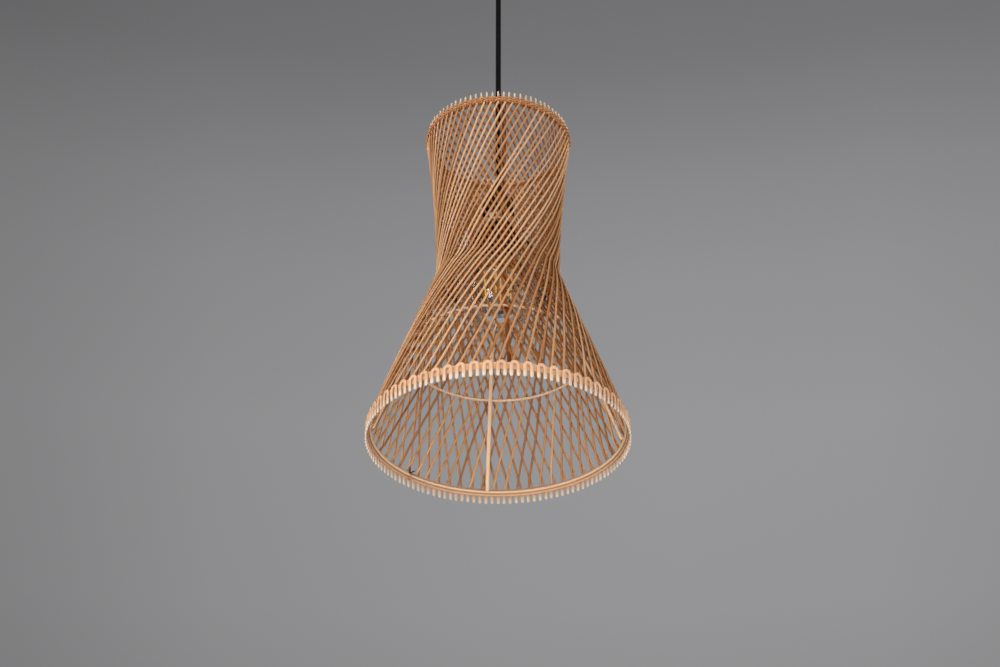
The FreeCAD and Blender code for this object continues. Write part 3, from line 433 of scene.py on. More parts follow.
WIRE = grained("wire_sheath", linear(96, 58, 34), linear(112, 68, 40), 800.0, 0.35, bump=0.03)
# The filaments' faint emission is a painted glow; the bulb is not switched on.
FILAMENT = grained(
    "filament_coat", linear(246, 178, 62), linear(252, 198, 92), 900.0, 0.45, bump=0.06,
    Emission_Color=linear(255, 176, 60), Emission_Strength=0.6)
DARK_GLASS = grained(
    "dark_glass", linear(16, 12, 16), linear(30, 24, 28), 300.0, 0.12, specular=0.6, bump=0.02)


def clear_glass(name, tone, roughness):
    """Clear glass with a faint waviness."""
    material, shader = principled(name, roughness, specular=0.5, IOR=1.45, Transmission_Weight=1.0)
    nodes, links = material.node_tree.nodes, material.node_tree.links
    place = nodes.new("ShaderNodeTexCoord")
    noise = nodes.new("ShaderNodeTexNoise")
    noise.inputs["Scale"].default_value = 22.0
    noise.inputs["Detail"].default_value = 1.0
    links.new(place.outputs["Object"], noise.inputs["Vector"])
    ramp = nodes.new("ShaderNodeValToRGB")
    ramp.color_ramp.elements[0].color = tone
    ramp.color_ramp.elements[1].color = (1.0, 1.0, 1.0, 1.0)
    links.new(noise.outputs["Fac"], ramp.inputs["Fac"])
    links.new(ramp.outputs["Color"], shader.inputs["Base Color"])
    relief = nodes.new("ShaderNodeBump")
    relief.inputs["Strength"].default_value = 0.06
    relief.inputs["Distance"].default_value = 0.0008
    links.new(noise.outputs["Fac"], relief.inputs["Height"])
    links.new(relief.outputs["Normal"], shader.inputs["Normal"])
    return material


GLASS = clear_glass("clear_glass", linear(247, 250, 250), 0.0)
STEM_GLASS = clear_glass("stem_glass", linear(238, 244, 244), 0.02)

# ---------------------------------------------------------------- woven layers


def polar(radius, bearing, z):
    """A point at a radius and bearing."""
    return np.array([radius * math.cos(bearing), radius * math.sin(bearing), z])


HEIGHTS = np.concatenate([
    np.linspace(STRAND_FOOT, HOOP_Z + 14 * MM, 6),
    np.linspace(HOOP_Z + 20 * MM, WAIST_Z - 12 * MM, 26),
    np.linspace(WAIST_Z - 9 * MM, WAIST_Z + 9 * MM, 7),
    np.linspace(WAIST_Z + 13 * MM, WEAVE_TOP, 30),
])


def swings():
    """How far a strand has turned round the shade at each height, by R sin(lean) = WINDING."""
    fine = np.linspace(HOOP_Z + 0.2 * MM, HEIGHTS[-1], 1500)
    radius = np.array([eased_radius(z) for z in fine])
    centre = (radius[1:] + radius[:-1]) / 2
    length = np.hypot(np.diff(fine), np.diff(radius))
    rate = WINDING / (centre * np.sqrt(centre ** 2 - WINDING ** 2))
    return np.interp(HEIGHTS, fine, np.concatenate([[0.0], np.cumsum(rate * length)]))


SWINGS = swings()
SMOOTH_RADII = np.array([eased_radius(z) for z in HEIGHTS])
RISE = (HEIGHTS - HEIGHTS[0]) / (HEIGHTS[-1] - HEIGHTS[0])
EASE = np.clip(np.minimum(RISE, 1 - RISE) * 7, 0.0, 1.0)


def weave_layer(layer):
    """All strands of one layer."""
    shell = Shell()
    turn = 1.0 if layer == 0 else -1.0
    pitch = 2 * math.pi / STRANDS
    for k in range(STRANDS):
        drift = RNG.normal(0, 0.10) * pitch
        wave = sum(RNG.normal(0, 0.075 / n) * np.sin(2 * math.pi * (n * RISE * 1.3 + RNG.random()))
                   for n in (1, 2, 3))
        lift = 0.10 * MM * np.sin(2 * math.pi * (RISE * 5 + RNG.random()))
        bearing = turn * SWINGS + layer * pitch / 2 + k * pitch + EASE * (drift + wave * pitch)
        radius = SMOOTH_RADII - layer * LAYER_GAP + lift * EASE - 0.15 * MM
        low = np.clip((HEIGHTS - STRAND_FOOT) / RIM_MERGE, 0, 1)
        radius = np.where(low < 1, RIM_RADIUS + (radius - RIM_RADIUS) * low, radius)
        path = np.stack([radius * np.cos(bearing), radius * np.sin(bearing), HEIGHTS], 1)
        width = STRAND * (1 + RNG.normal(0, 0.035)) * (1 + 0.03 * np.sin(RISE * 40 + RNG.random() * 6))
        outward = np.stack([np.cos(bearing), np.sin(bearing), np.zeros_like(bearing)], 1)
        shell.tube(path, width, sides=10, flat=STRAND_FLAT, normal=outward, tint=float(RNG.random()))
    return shell


weave_layer(0).build("outer_weave", RATTAN, "lamp", ["outer_strands"], "rattan")
weave_layer(1).build("inner_weave", RATTAN_INNER, "lamp", ["inner_strands"], "rattan")


# ---------------------------------------------------------------- hoops, bands and ribs

def ring_path(radius, z, count=256, wobble=0.0, phase=0.0):
    """A round path."""
    angle = np.arange(count) * 2 * math.pi / count
    wave = wobble * (np.sin(2 * angle + phase) + 0.5 * np.sin(5 * angle + 2 * phase))
    r = radius + wave
    return np.stack([r * np.cos(angle), r * np.sin(angle), z + 0.6 * wave], 1)


def hoop(name, node, material, slot, wobble, phase):
    """A round cane hoop in the place of a CAD torus."""
    low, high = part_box(node)
    wire = (high.z - low.z) / 2
    path = ring_path(reach(node) - wire, middle(node, 2), wobble=wobble, phase=phase)
    shell = Shell()
    shell.tube(path, wire, sides=14, closed=True, tint=0.3)
    return shell.build(name, material, "lamp", [node], slot)


hoop("foot_hoop", "bottom_hoop", PALE, "pale_cane", 0.12 * MM, 0.4)
hoop("mid_hoop", "middle_hoop", PALE, "pale_cane", 0.2 * MM, 1.9)
hoop("edge_hoop", "top_hoop", BAND, "pale_cane", 0.12 * MM, 3.1)

# The flat hoop carries painted shade along the seam under the round hoop, and is darker at its own rounded
# edges.
foot_low, foot_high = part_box("bottom_band")
BAND_EDGE = 0.5 * MM
BAND_CROWN = 0.12 * MM
FACE_TINT, EDGE_TINT, SEAM_SHADE_TINT = 0.1, 0.3, 0.42
SEAM_LOW, SEAM_HIGH = HOOP_Z - 2.7 * MM, HOOP_Z - 0.9 * MM
band_outside = reach("bottom_band")
band_inside = reach("bottom_hoop") + 0.15 * MM
profile = [
    (band_inside, foot_high.z - BAND_EDGE, EDGE_TINT),
    (band_inside, SEAM_HIGH, SEAM_SHADE_TINT),
    (band_inside, SEAM_LOW + BAND_EDGE, SEAM_SHADE_TINT),
    (band_inside, SEAM_LOW, FACE_TINT),
    (band_inside, foot_low.z + BAND_EDGE, FACE_TINT),
    (band_inside + BAND_EDGE, foot_low.z, EDGE_TINT),
    (band_outside - BAND_EDGE, foot_low.z, EDGE_TINT),
    (band_outside, foot_low.z + BAND_EDGE, FACE_TINT),
    (band_outside + BAND_CROWN, (foot_low.z + foot_high.z) / 2, FACE_TINT),
    (band_outside, foot_high.z - BAND_EDGE, FACE_TINT),
    (band_outside - BAND_EDGE, foot_high.z, EDGE_TINT),
    (band_inside + BAND_EDGE, foot_high.z, EDGE_TINT),
]
flat_hoop = Shell()
flat_hoop.lathe([point[:2] for point in profile], sides=256, closed=True,
                tint=[point[2] for point in profile])
flat_hoop.build("foot_band", FOOT_BAND, "lamp", ["bottom_band"], "rattan")

PEGS = 80
PEG_BAR = 1.4 * MM
ROW_BAR = 1.02 * MM
ROW_SWING = 2.25 * MM
ROW_WAVE = 0.75 * MM
PEG_CIRCLE = reach("top_pegs") - PEG_BAR


def twined_row(shell, z, phase):
    """Two canes twined in and out of the pegs, crossing between them."""
    turns = PEGS // 2
    count = turns * 16
    angle = np.arange(count) * 2 * math.pi / count
    for half in range(2):
        swing = turns * angle + phase + half * math.pi
        r = PEG_CIRCLE + ROW_SWING * np.cos(swing)
        path = np.stack([r * np.cos(angle), r * np.sin(angle), z + ROW_WAVE * np.sin(swing)], 1)
        shell.tube(path, ROW_BAR, sides=8, closed=True, tint=0.25 + 0.5 * half)


edge_low, edge_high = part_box("top_band")
rows = Shell()
for share, phase in ((0.26, 0.0), (0.76, math.pi)):
    twined_row(rows, edge_low.z + (edge_high.z - edge_low.z) * share, phase)
rows.build("edge_rows", BAND, "lamp", ["top_band"], "rattan")

RIB_INSET = 7.75 * MM
RIB_HALF_WIDTH = 2.45 * MM
RIB_HALF_THICK = 1.45 * MM
RIB_HEIGHTS = [HOOP_Z - 2 * MM, HOOP_Z + 105 * MM, WAIST_Z, WEAVE_TOP - 34 * MM, WEAVE_TOP + 8 * MM]
RIB_EASE = [-1.1 * MM, 0.45 * MM, 0.0, 0.3 * MM, 0.5 * MM]


def rib(name, node, quarter):
    """A flattened stick inside the hoops."""
    low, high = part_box(node)
    heights = np.concatenate([
        np.linspace(low.z, WAIST_Z - 14 * MM, 12),
        np.linspace(WAIST_Z - 10 * MM, WAIST_Z + 10 * MM, 7),
        np.linspace(WAIST_Z + 16 * MM, high.z, 12),
    ])
    # The near rib is the same pale cane as the others; the darker inner-layer cane on it is painted shade.
    material = RATTAN_INNER if node == "rib_near" else PALE
    bearing = RIB_TURN + quarter * math.pi / 2
    points = []
    for z in heights:
        surface = eased_radius(max(z, HOOP_Z - 1 * MM), 9 * MM)
        inset = RIB_INSET + np.interp(z, RIB_HEIGHTS, RIB_EASE) + RIB_HALF_THICK
        points.append(polar(surface - inset, bearing, z))
    bow = 0.5 * MM * np.sin(np.linspace(0, 2 * math.pi, len(points)) + quarter)
    side = polar(1.0, bearing + math.pi / 2, 0.0)
    path = np.array(points) + side * bow[:, None]
    shell = Shell()
    shell.tube(path, RIB_HALF_WIDTH, sides=14, flat=RIB_HALF_THICK / RIB_HALF_WIDTH,
               normal=polar(1.0, bearing, 0.0), tint=0.15 + 0.2 * quarter)
    return shell.build(name, material, "lamp", [node], "pale_cane")


for quarter, side_name in enumerate(("right", "far", "left", "near")):
    rib("stick_" + side_name, "rib_" + side_name, quarter)

# ---------------------------------------------------------------- bottom loops and top pegs

LOOPS = 64
LOOP_BAR = 2.15 * MM
LOOP_FLAT = 0.56
LOOP_HALF_SPAN = 3.7 * MM
LOOP_LEG = LOOP_HALF_SPAN * 1.02
loop_low, loop_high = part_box("bottom_loops")
loop_radius = reach("bottom_loops") - 1.35 * MM
loop_shoulder = loop_high.z - LOOP_BAR - LOOP_HALF_SPAN
leg_top = loop_shoulder - 1 * MM
arch = np.linspace(0, math.pi, 11)
loops = Shell()
for k in range(LOOPS):
    bearing = 2 * math.pi * (k + 0.25) / LOOPS + RNG.normal(0, 0.0012)
    foot = loop_low.z + 0.3 * MM + abs(RNG.normal(0, 0.25)) * MM
    across = np.concatenate([[LOOP_LEG] * 4, LOOP_HALF_SPAN * np.cos(arch), [-LOOP_LEG] * 4])
    up = np.concatenate([
        np.linspace(foot, leg_top, 4),
        loop_shoulder + LOOP_HALF_SPAN * np.sin(arch),
        np.linspace(leg_top, foot + RNG.normal(0, 0.2) * MM, 4),
    ])
    turn = bearing + across / loop_radius
    path = np.stack([loop_radius * np.cos(turn), loop_radius * np.sin(turn), up], 1)
    outward = np.stack([np.cos(turn), np.sin(turn), np.zeros_like(turn)], 1)
    loops.tube(path, LOOP_BAR, sides=10, flat=LOOP_FLAT, normal=outward, tint=float(RNG.random()))
loops.build("rim_loops", LOOP, "lamp", ["bottom_loops"], "pale_cane")

peg_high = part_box("top_pegs")[1]
pegs = Shell()
for k in range(PEGS):
    bearing = 2 * math.pi * k / PEGS + RNG.normal(0, 0.002)
    foot = edge_low.z - 0.8 * MM
    tip = peg_high.z - abs(RNG.normal(0, 0.35)) * MM
    tilt = RNG.normal(0, 0.2) * MM
    path = np.array([polar(PEG_CIRCLE + tilt * s, bearing, foot + (tip - foot) * s)
                     for s in np.linspace(0, 1, 7)])
    pegs.tube(path, PEG_BAR * np.array([0.75, 0.9, 0.98, 1.0, 0.98, 0.94, 0.82]), sides=10,
              tint=float(RNG.random()))
pegs.build("edge_pegs", PEG, "lamp", ["top_pegs"], "pale_cane")

# The tie on the bottom hoop: two pale turns crossing over, with dark splayed ends.
tie_bearing = 2 * math.pi / STRANDS * 24.25
tie = Shell()
hoop_centre = reach("bottom_hoop") - 1.5 * MM


def on_hoop(sideways, outward, up):
    """A point near the tie, measured from the hoop's own line."""
    bearing = tie_bearing + sideways / hoop_centre
    return polar(hoop_centre + outward, bearing, HOOP_Z + up)


TIE_SPREAD = 2.6
for turn in (1.0, -1.0):
    path = []
    for wrap in np.linspace(0, 2 * math.pi, 33):
        sideways = turn * TIE_SPREAD * (wrap / math.pi - 1)
        outward, up = 1.2 + 3.2 * math.cos(wrap), -1.6 + 4.1 * math.sin(wrap)
        path.append(on_hoop(sideways * MM, outward * MM, up * MM))
    tie.tube(path, 0.62 * MM, sides=8, tint=0.05)
# Where each loose end points: sideways, up and outward in millimetres.
TIE_ENDS = [(5.6, 6.8, -4.2), (-6.2, 5.6, -4.4), (2.6, 9.2, -3.4), (-2.6, 4.2, -5.6), (6.4, 1.0, -4.8),
            (-5.4, -1.6, -4.6)]
KNOT_OUTWARD, KNOT_UP = -1.9, 0.4
for end_sideways, end_up, end_outward in TIE_ENDS:
    path = []
    for s in np.linspace(0, 1, 8):
        outward = KNOT_OUTWARD + (end_outward - KNOT_OUTWARD) * s
        up = KNOT_UP + (end_up - KNOT_UP) * s + 0.8 * math.sin(math.pi * s)
        path.append(on_hoop(end_sideways * s * MM, outward * MM, up * MM))
    tie.tube(path, 0.6 * MM * np.linspace(1, 0.5, 8), sides=8, tint=1.0)
tie.build("hoop_knot", DARK_CANE, "lamp", ["hoop_tie"], "dark_rattan")

# ---------------------------------------------------------------- cord

pivot_z = frame["record"]["behaviour"]["joints"][0]["pos_m"][2]
cord_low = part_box("cord_main")[0].z
cord_radius = reach("cord_main")
cord_heights = np.concatenate([[pivot_z + cord_radius * 0.98], np.linspace(pivot_z, cord_low, 60)])
cord_path = [(0.0, 0.0, z) for z in cord_heights]
cord_shell = Shell()
cord_shell.tube(cord_path, cord_radius, sides=32, ends="round", normal=(1.0, 0.0, 0.0))
cord = cord_shell.build("cord", CORD, "lamp", ["cord_main", "cord_bend"], "cord_sheath")

# ---------------------------------------------------------------- lampholder

def mm_outline(points, base):
    """(radius, height) points in millimetres above a base height."""
    return [(r * MM, base + h * MM) for r, h in points]


cap_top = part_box("holder_cap")[1].z
quarter_turn = np.linspace(0, math.pi / 2, 10)
dome = [(9 + 11 * math.sin(a), -11 + 11 * math.cos(a)) for a in quarter_turn]
inner_dome = [(8.4 + 9.8 * math.sin(a), -11.6 + 9.8 * math.cos(a)) for a in quarter_turn[::-1]]
cap_groove = [(20, -19), (19.6, -19.4), (19.6, -20.2), (20, -20.6)]
cap_foot = [(20, -25.7), (19.7, -26), (18.2, -26)]
cap_points = [(5.1, 0.0), (8.6, 0.0), *dome, *cap_groove, *cap_foot, *inner_dome, (5.1, -1.8)]
cap_shell = Shell()
cap_shell.lathe(mm_outline(cap_points, cap_top), sides=72, closed=True)
sharpen(cap_shell.build("holder_dome", BLACK_PLASTIC, "lamp", ["holder_cap"], "black_plastic"))

body_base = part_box("holder_body")[0].z
THREAD_POINTS = 40
THREAD_LENGTH = 14.2
thread = [(19.7 + 0.3 * math.cos(k * math.pi / 2), THREAD_LENGTH * k / THREAD_POINTS + 0.6)
          for k in range(THREAD_POINTS)]
flange = [(20, 15.2), (20, 16), (23.7, 16), (24, 16.3), (24, 17.6), (23.4, 18.3), (20, 19)]
spigot = [(20, 27.9), (18.1, 27.95), (18.1, 34), (16.4, 34), (16.4, 1.0)]
body_points = [(17.0, 0.0), (19.3, 0.0), *thread, *flange, *spigot]
body_shell = Shell()
body_shell.lathe(mm_outline(body_points, body_base), sides=72, closed=True)
sharpen(body_shell.build("holder_skirt", BLACK_PLASTIC, "lamp", ["holder_body"], "black_plastic"))

ring_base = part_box("shade_ring")[0].z
KNURL_SIDES = 180
KNURL_GROOVES = 45
KNURL_DEPTH = 0.28
KNURL_RADIUS = 23.0
ring_points = [
    (20.1, 0.3), (20.4, 0.0), (22.6, 0.0), (KNURL_RADIUS, 0.4), (KNURL_RADIUS, 6.4), (23.3, 6.8),
    (26.7, 7.3), (27.0, 7.7), (27.0, 8.7), (26.7, 9.0), (20.1, 9.0),
]
angle = np.arange(KNURL_SIDES) * 2 * math.pi / KNURL_SIDES
grooves = KNURL_DEPTH * (np.cos(angle * KNURL_GROOVES) > 0.2)
grid = np.zeros((len(ring_points), KNURL_SIDES, 3))
for row, (r, h) in enumerate(ring_points):
    side = r - grooves if r == KNURL_RADIUS else r
    grid[row, :, 0] = side * MM * np.cos(angle)
    grid[row, :, 1] = side * MM * np.sin(angle)
    grid[row, :, 2] = ring_base + h * MM
knurl = Shell()
knurl.grid(grid, angle / (2 * math.pi) * 8, np.arange(len(ring_points)) * 0.3, 0.5, True, True)
sharpen(knurl.build("shade_clamp", BLACK_PLASTIC, "lamp", ["shade_ring"], "black_plastic"))


def threaded(shell, radius, depth, pitch, bottom, top, sides=72, per_turn=10):
    """A rolled screw thread, right-handed about +Z."""
    height = np.linspace(bottom, top, int((top - bottom) / pitch * per_turn) + 1)
    angle = np.arange(sides) * 2 * math.pi / sides
    phase = 2 * math.pi * (height[:, None] / pitch) - angle[None, :]
    fade = np.clip(np.minimum(height - bottom, top - height) / (0.8 * pitch), 0, 1)[:, None]
    r = radius - depth / 2 + (depth / 2) * np.cos(phase) * fade
    z = np.broadcast_to(height[:, None], r.shape)
    points = np.stack([r * np.cos(angle), r * np.sin(angle), z], -1)
    return shell.grid(points, angle / (2 * math.pi) * 8, height / UV_LENGTH, 0.5, True, False)


PITCH = 3.629 * MM
SOCKET_DEPTH = 0.5 * MM
shell_low, shell_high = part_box("screw_shell")
thread_foot = shell_low.z + 0.5 * MM
socket = Shell()
outside = threaded(socket, 14.1 * MM, SOCKET_DEPTH, PITCH, thread_foot, shell_high.z)
inside = threaded(socket, 13.8 * MM, SOCKET_DEPTH, PITCH, thread_foot, shell_high.z)
socket.quads[-1] = socket.quads[-1][:, ::-1]
socket.uv_quads[-1] = socket.uv_quads[-1][:, ::-1]
for row, flip in ((0, False), (-1, True)):
    a, b = outside[row], inside[row]
    faces = np.stack([a, np.roll(a, -1), np.roll(b, -1), b], -1)
    if not flip:
        faces = faces[:, ::-1]
    socket.quads.append(faces)
    socket.uv_quads.append(np.zeros((len(faces), 4, 2)))
LIP_INSIDE, LIP_OUTSIDE = 13.7 * MM, 14.9 * MM
lip_outline = [(LIP_INSIDE, shell_low.z), (LIP_OUTSIDE, shell_low.z), (LIP_OUTSIDE, thread_foot),
               (LIP_INSIDE, thread_foot)]
socket.lathe(lip_outline, sides=72, closed=True)
socket.build("socket_thread", BRASS, "lamp", ["screw_shell"], "contact_brass")

# ---------------------------------------------------------------- bulb

cap_low, cap_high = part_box("bulb_cap")
bulb_cap = Shell()
threaded(bulb_cap, 13.05 * MM, 0.75 * MM, PITCH, cap_low.z + 1.6 * MM, cap_high.z - 2.0 * MM)
skirt_points = [(12.68, 1.7), (12.9, 0.9), (13.05, 0.4), (13.05, 0.0), (12.75, 0.0), (12.4, 1.2)]
crown_points = [(12.68, -2.05), (12.45, -1.5), (12.0, -0.7), (10.9, -0.1), (6.2, 0.0), (0.4, 0.0)]
bulb_cap.lathe(mm_outline(skirt_points, cap_low.z), sides=72, closed=True)
bulb_cap.lathe(mm_outline(crown_points, cap_high.z), sides=72)
bulb_cap.build("bulb_thread", NICKEL, "bulb", ["bulb_cap"], "cap_metal")

neck_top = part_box("bulb_glass")[1].z
WALL = 0.9 * MM
NECK_RADIUS = 12.65 * MM
NECK_LENGTH = 3.3 * MM
SHOULDER = math.radians(61.6)
GLASS_SIDES = 96


def glass_outline(inset):
    """The globe's section from the neck to the bottom, moved in by the wall."""
    points = [(NECK_RADIUS - inset, neck_top - NECK_LENGTH * s) for s in np.linspace(0, 1, 5)]
    outward = np.array([math.cos(SHOULDER), math.sin(SHOULDER)])
    upward = np.array([-math.sin(SHOULDER), math.cos(SHOULDER)])
    a = np.array([NECK_RADIUS, neck_top - NECK_LENGTH])
    b = a + np.array([0.0, -7.0 * MM])
    d = np.array([0.0, GLOBE_Z]) + outward * GLOBE_RADIUS
    c = d + upward * 6.5 * MM
    for s in np.linspace(0.08, 0.95, 12):
        p = (1 - s) ** 3 * a + 3 * (1 - s) ** 2 * s * b + 3 * (1 - s) * s ** 2 * c + s ** 3 * d
        q = 3 * (1 - s) ** 2 * (b - a) + 6 * (1 - s) * s * (c - b) + 3 * s ** 2 * (d - c)
        normal = np.array([-q[1], q[0]]) / np.linalg.norm(q)
        points.append(tuple(p - normal * inset))
    radius = GLOBE_RADIUS - inset
    for lean in np.linspace(SHOULDER, -math.pi / 2 + 0.012, 46):
        points.append((math.cos(lean) * radius, GLOBE_Z + math.sin(lean) * radius))
    return points


outer_glass = glass_outline(0.0)
inner_glass = glass_outline(WALL)[::-1]
glass_wall = Shell()
angle = np.arange(GLASS_SIDES) * 2 * math.pi / GLASS_SIDES


def turned_grid(outline):
    """Rows of points turned about the vertical."""
    outline = np.asarray(outline)
    points = np.zeros((len(outline), GLASS_SIDES, 3))
    points[..., 0] = outline[:, :1] * np.cos(angle)
    points[..., 1] = outline[:, :1] * np.sin(angle)
    points[..., 2] = outline[:, 1:2]
    return points


out_index = glass_wall.grid(turned_grid(outer_glass), angle, np.arange(len(outer_glass)) * 0.2, 0.5)
in_index = glass_wall.grid(turned_grid(inner_glass), angle, np.arange(len(inner_glass)) * 0.2, 0.5)
glass_wall.cap(out_index[-1])
glass_wall.cap(in_index[0], flip=True)
rim = np.stack([in_index[-1], np.roll(in_index[-1], -1), np.roll(out_index[0], -1), out_index[0]], -1)
glass_wall.quads.append(rim)
glass_wall.uv_quads.append(np.zeros((len(rim), 4, 2)))
glass_wall.build("bulb_globe", GLASS, "bulb", ["bulb_glass"], "clear_glass")

stem_low, stem_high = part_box("bulb_stem")
stem = Shell()
stem_points = [
    (0.3, 0.0), (2.6, -0.2), (3.0, -0.8), (3.0, -22), (3.6, -25), (5.6, -28), (7.3, -30), (7.4, -31.5),
    (6.4, -34), (3.6, -38), (2.1, -42), (1.7, -50), (1.6, -70), (1.6, -88),
]
span = (stem_high.z - stem_low.z) / MM
stem_points += [(1.9, -span + 2.4), (2.2, -span + 1.4), (1.5, -span + 0.3), (0.3, -span)]
stem.lathe(mm_outline(stem_points, stem_high.z), sides=32)
stem.build("bulb_mount", STEM_GLASS, "bulb", ["bulb_stem"], "clear_glass")

filaments = Shell()
ends = Shell()
wires = Shell()
top_ring = (17.0 * MM, GLOBE_Z + 33.0 * MM)
foot_ring = (15.0 * MM, GLOBE_Z - 14.0 * MM)
for k in range(4):
    bearing = math.radians(-10) + k * math.pi / 2
    a = polar(top_ring[0], bearing, top_ring[1])
    b = polar(foot_ring[0], bearing, foot_ring[1])
    way = (b - a) / np.linalg.norm(b - a)
    filaments.tube([a + way * 2 * MM, (a + b) / 2, b - way * 2 * MM], 1.0 * MM, sides=16, tint=0.4)
    ends.tube([a, a + way * 2.4 * MM], 0.6 * MM, sides=8, flat=0.5)
    ends.tube([b - way * 2.4 * MM, b], 0.6 * MM, sides=8, flat=0.5)
    hook = polar(1.9 * MM, bearing, foot_ring[1] - 0.9 * MM)
    wires.tube([hook, polar(8 * MM, bearing, foot_ring[1] - 1.2 * MM), b], 0.3 * MM, sides=8)
    root = polar(1.9 * MM, bearing, GLOBE_Z + 41.8 * MM)
    wires.tube([root, (root + a) / 2 + np.array([0, 0, 1.2 * MM]), a], 0.3 * MM, sides=8)
filaments.build("bulb_light_rods", FILAMENT, "bulb", ["bulb_filaments"], "filament_yellow")
ends.build("bulb_rod_ends", NICKEL, "bulb", [], "cap_metal")
wires.build("bulb_spider", NICKEL, "bulb", ["bulb_wires"], "cap_metal")

# ---------------------------------------------------------------- CAD nodes that stay

KEPT = [
    (ZINC, ["ceiling_bracket", "canopy_screws", "block_screw"]),
    (BLACK_STEEL, ["canopy_cover", "carrier_spider"]),
    (IVORY, ["terminal_block", "holder_insert"]),
    (BRASS, ["terminal_screws", "holder_terminal_screws", "centre_contact", "bulb_contact"]),
    (BLACK_PLASTIC, ["rose_grip", "rose_grip_screw", "rose_grip_nut", "holder_grip", "holder_grip_screw"]),
    (CORD, ["cord_tail"]),
    (WIRE, ["rose_wires", "holder_wires"]),
    (DARK_GLASS, ["bulb_insulator"]),
]
for material, node_names in KEPT:
    for node_name in node_names:
        thing = frame["nodes"][node_name]
        thing.data.materials.clear()
        thing.data.materials.append(material)

# ---------------------------------------------------------------- studio

def plain(name, colour, roughness=0.9):
    """A matt studio surface with a very faint mottle."""
    second = [value + 3 for value in colour]
    return grained(name, linear(*colour), linear(*second), 3.0, roughness, specular=0.1, bump=0.0)


def flat_sheet(name, size, location, rotation, material):
    """A plane that belongs to the studio."""
    mesh = bpy.data.meshes.new(name)
    half = size / 2
    corners = [(-half, -half, 0), (half, -half, 0), (half, half, 0), (-half, half, 0)]
    mesh.from_pydata(corners, [], [(0, 1, 2, 3)])
    thing = bpy.data.objects.new(name, mesh)
    thing.location = location
    thing.rotation_euler = rotation
    mesh.materials.append(material)
    bpy.context.scene.collection.objects.link(thing)
    return thing


flat_sheet("floor", 14.0, (0, 0, -2.25), (0, 0, 0), plain("floor_paint", (196, 196, 196)))

world = bpy.data.worlds.new("studio")
bpy.context.scene.world = world
world.use_nodes = True
tree = world.node_tree
background = tree.nodes["Background"]
direction = tree.nodes.new("ShaderNodeTexCoord")
split = tree.nodes.new("ShaderNodeSeparateXYZ")
tree.links.new(direction.outputs["Generated"], split.inputs[0])


def sky_ramp(value, low, high, stops):
    """A colour ramp over part of the sky, from one component of the direction."""
    span = tree.nodes.new("ShaderNodeMapRange")
    span.inputs["From Min"].default_value = low
    span.inputs["From Max"].default_value = high
    tree.links.new(value, span.inputs["Value"])
    ramp = tree.nodes.new("ShaderNodeValToRGB")
    while len(ramp.color_ramp.elements) < len(stops):
        ramp.color_ramp.elements.new(0.5)
    for element, (position, colour) in zip(ramp.color_ramp.elements, stops):
        element.position = (position - low) / (high - low)
        element.color = colour
    tree.links.new(span.outputs["Result"], ramp.inputs["Fac"])
    return ramp.outputs["Color"]


def grey(value):
    """A grey a touch cooler than neutral."""
    return linear(value, value, value + 1.5)


def flat_grey(value):
    """A linear factor."""
    return (value, value, value, 1.0)


height_tone = sky_ramp(split.outputs["Z"], 0.25, 0.80, [
    (0.25, grey(132)), (0.40, grey(149)), (0.49, grey(151)), (0.563, grey(145)), (0.60, grey(138)),
    (0.66, grey(118)), (0.80, grey(88)),
])
side_tone = sky_ramp(split.outputs["X"], -0.4, 0.4, [
    (-0.4, flat_grey(0.62)), (-0.26, flat_grey(0.74)), (-0.157, flat_grey(0.88)), (0.0, flat_grey(0.98)),
    (0.1, flat_grey(1.0)), (0.21, flat_grey(0.99)), (0.4, flat_grey(0.82)),
])
back_tone = sky_ramp(split.outputs["Y"], -0.4, 0.32, [(-0.4, flat_grey(0.3)), (0.32, flat_grey(1.0))])


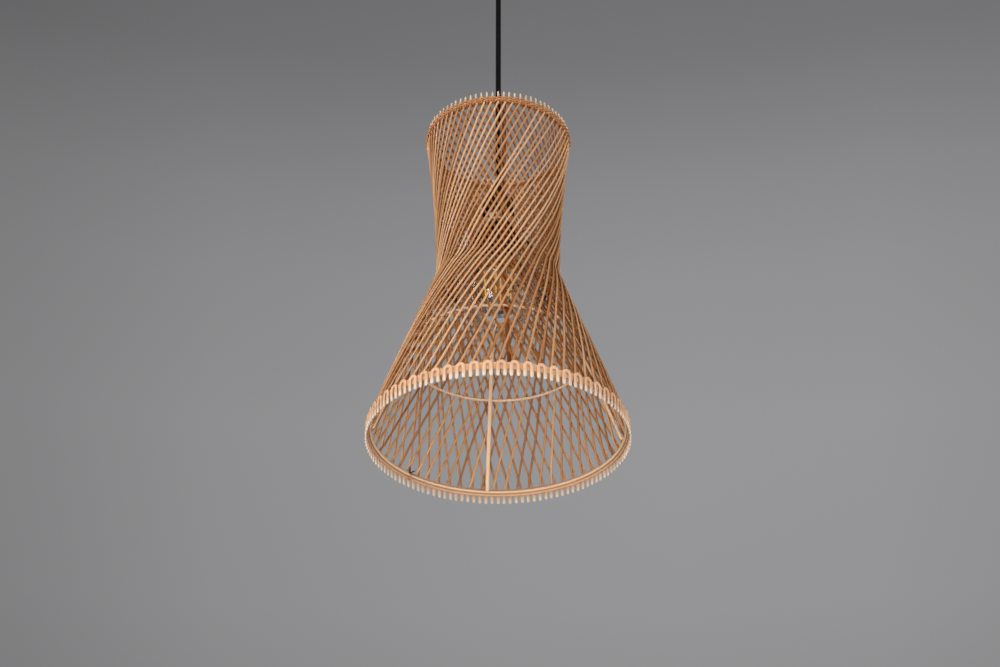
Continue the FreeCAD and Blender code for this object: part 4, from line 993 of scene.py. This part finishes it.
def product(a, b):
    """Two sky tones multiplied."""
    mix = tree.nodes.new("ShaderNodeMix")
    mix.data_type = "RGBA"
    mix.blend_type = "MULTIPLY"
    mix.inputs["Factor"].default_value = 1.0
    colours = [socket for socket in mix.inputs if socket.enabled and socket.type == "RGBA"]
    tree.links.new(a, colours[0])
    tree.links.new(b, colours[1])
    return [socket for socket in mix.outputs if socket.enabled][0]


tree.links.new(product(product(height_tone, side_tone), back_tone), background.inputs["Color"])
background.inputs["Strength"].default_value = 1.0


def soft_light(name, location, target, width, height, power, mirrored=True):
    """A soft box turned to a point; mirrored says whether glass and gloss show it."""
    data = bpy.data.lights.new(name, "AREA")
    data.shape = "RECTANGLE"
    data.size = width
    data.size_y = height
    data.energy = power
    lamp = bpy.data.objects.new(name, data)
    lamp.location = location
    lamp.visible_glossy = mirrored
    lamp.visible_transmission = mirrored
    way = Vector(target) - Vector(location)
    lamp.rotation_euler = way.to_track_quat("-Z", "Y").to_euler()
    bpy.context.scene.collection.objects.link(lamp)
    return lamp


# The lights point at the shade's middle. The two low ones are the only ones that glass shows.
AIM = (0.0, 0.0, HOOP_Z + 0.17)
soft_light("key", (-1.60, -1.05, 0.45), AIM, 1.4, 1.9, 39.0, mirrored=False)
soft_light("side", (1.35, -1.15, 0.45), AIM, 1.4, 1.9, 23.0, mirrored=False)
soft_light("low_left", (-0.85, -1.55, -1.73), AIM, 0.5, 1.0, 17.0)
soft_light("back", (0.35, 1.9, 0.35), AIM, 1.2, 1.6, 18.0, mirrored=False)
soft_light("low_right", (0.85, -1.55, -1.73), AIM, 0.5, 1.0, 14.0)

camera_data = bpy.data.cameras.new("camera")
camera_data.sensor_width = 36.0
camera_data.lens = 63.5
camera_data.clip_start = 0.02
camera = bpy.data.objects.new("camera", camera_data)
camera.location = (0.0022, -1.755, HOOP_Z - 0.985)
camera.rotation_euler = (math.radians(90 + 32.54), 0.0, 0.0)
bpy.context.scene.collection.objects.link(camera)
bpy.context.scene.camera = camera
bpy.context.scene.view_settings.view_transform = "Standard"
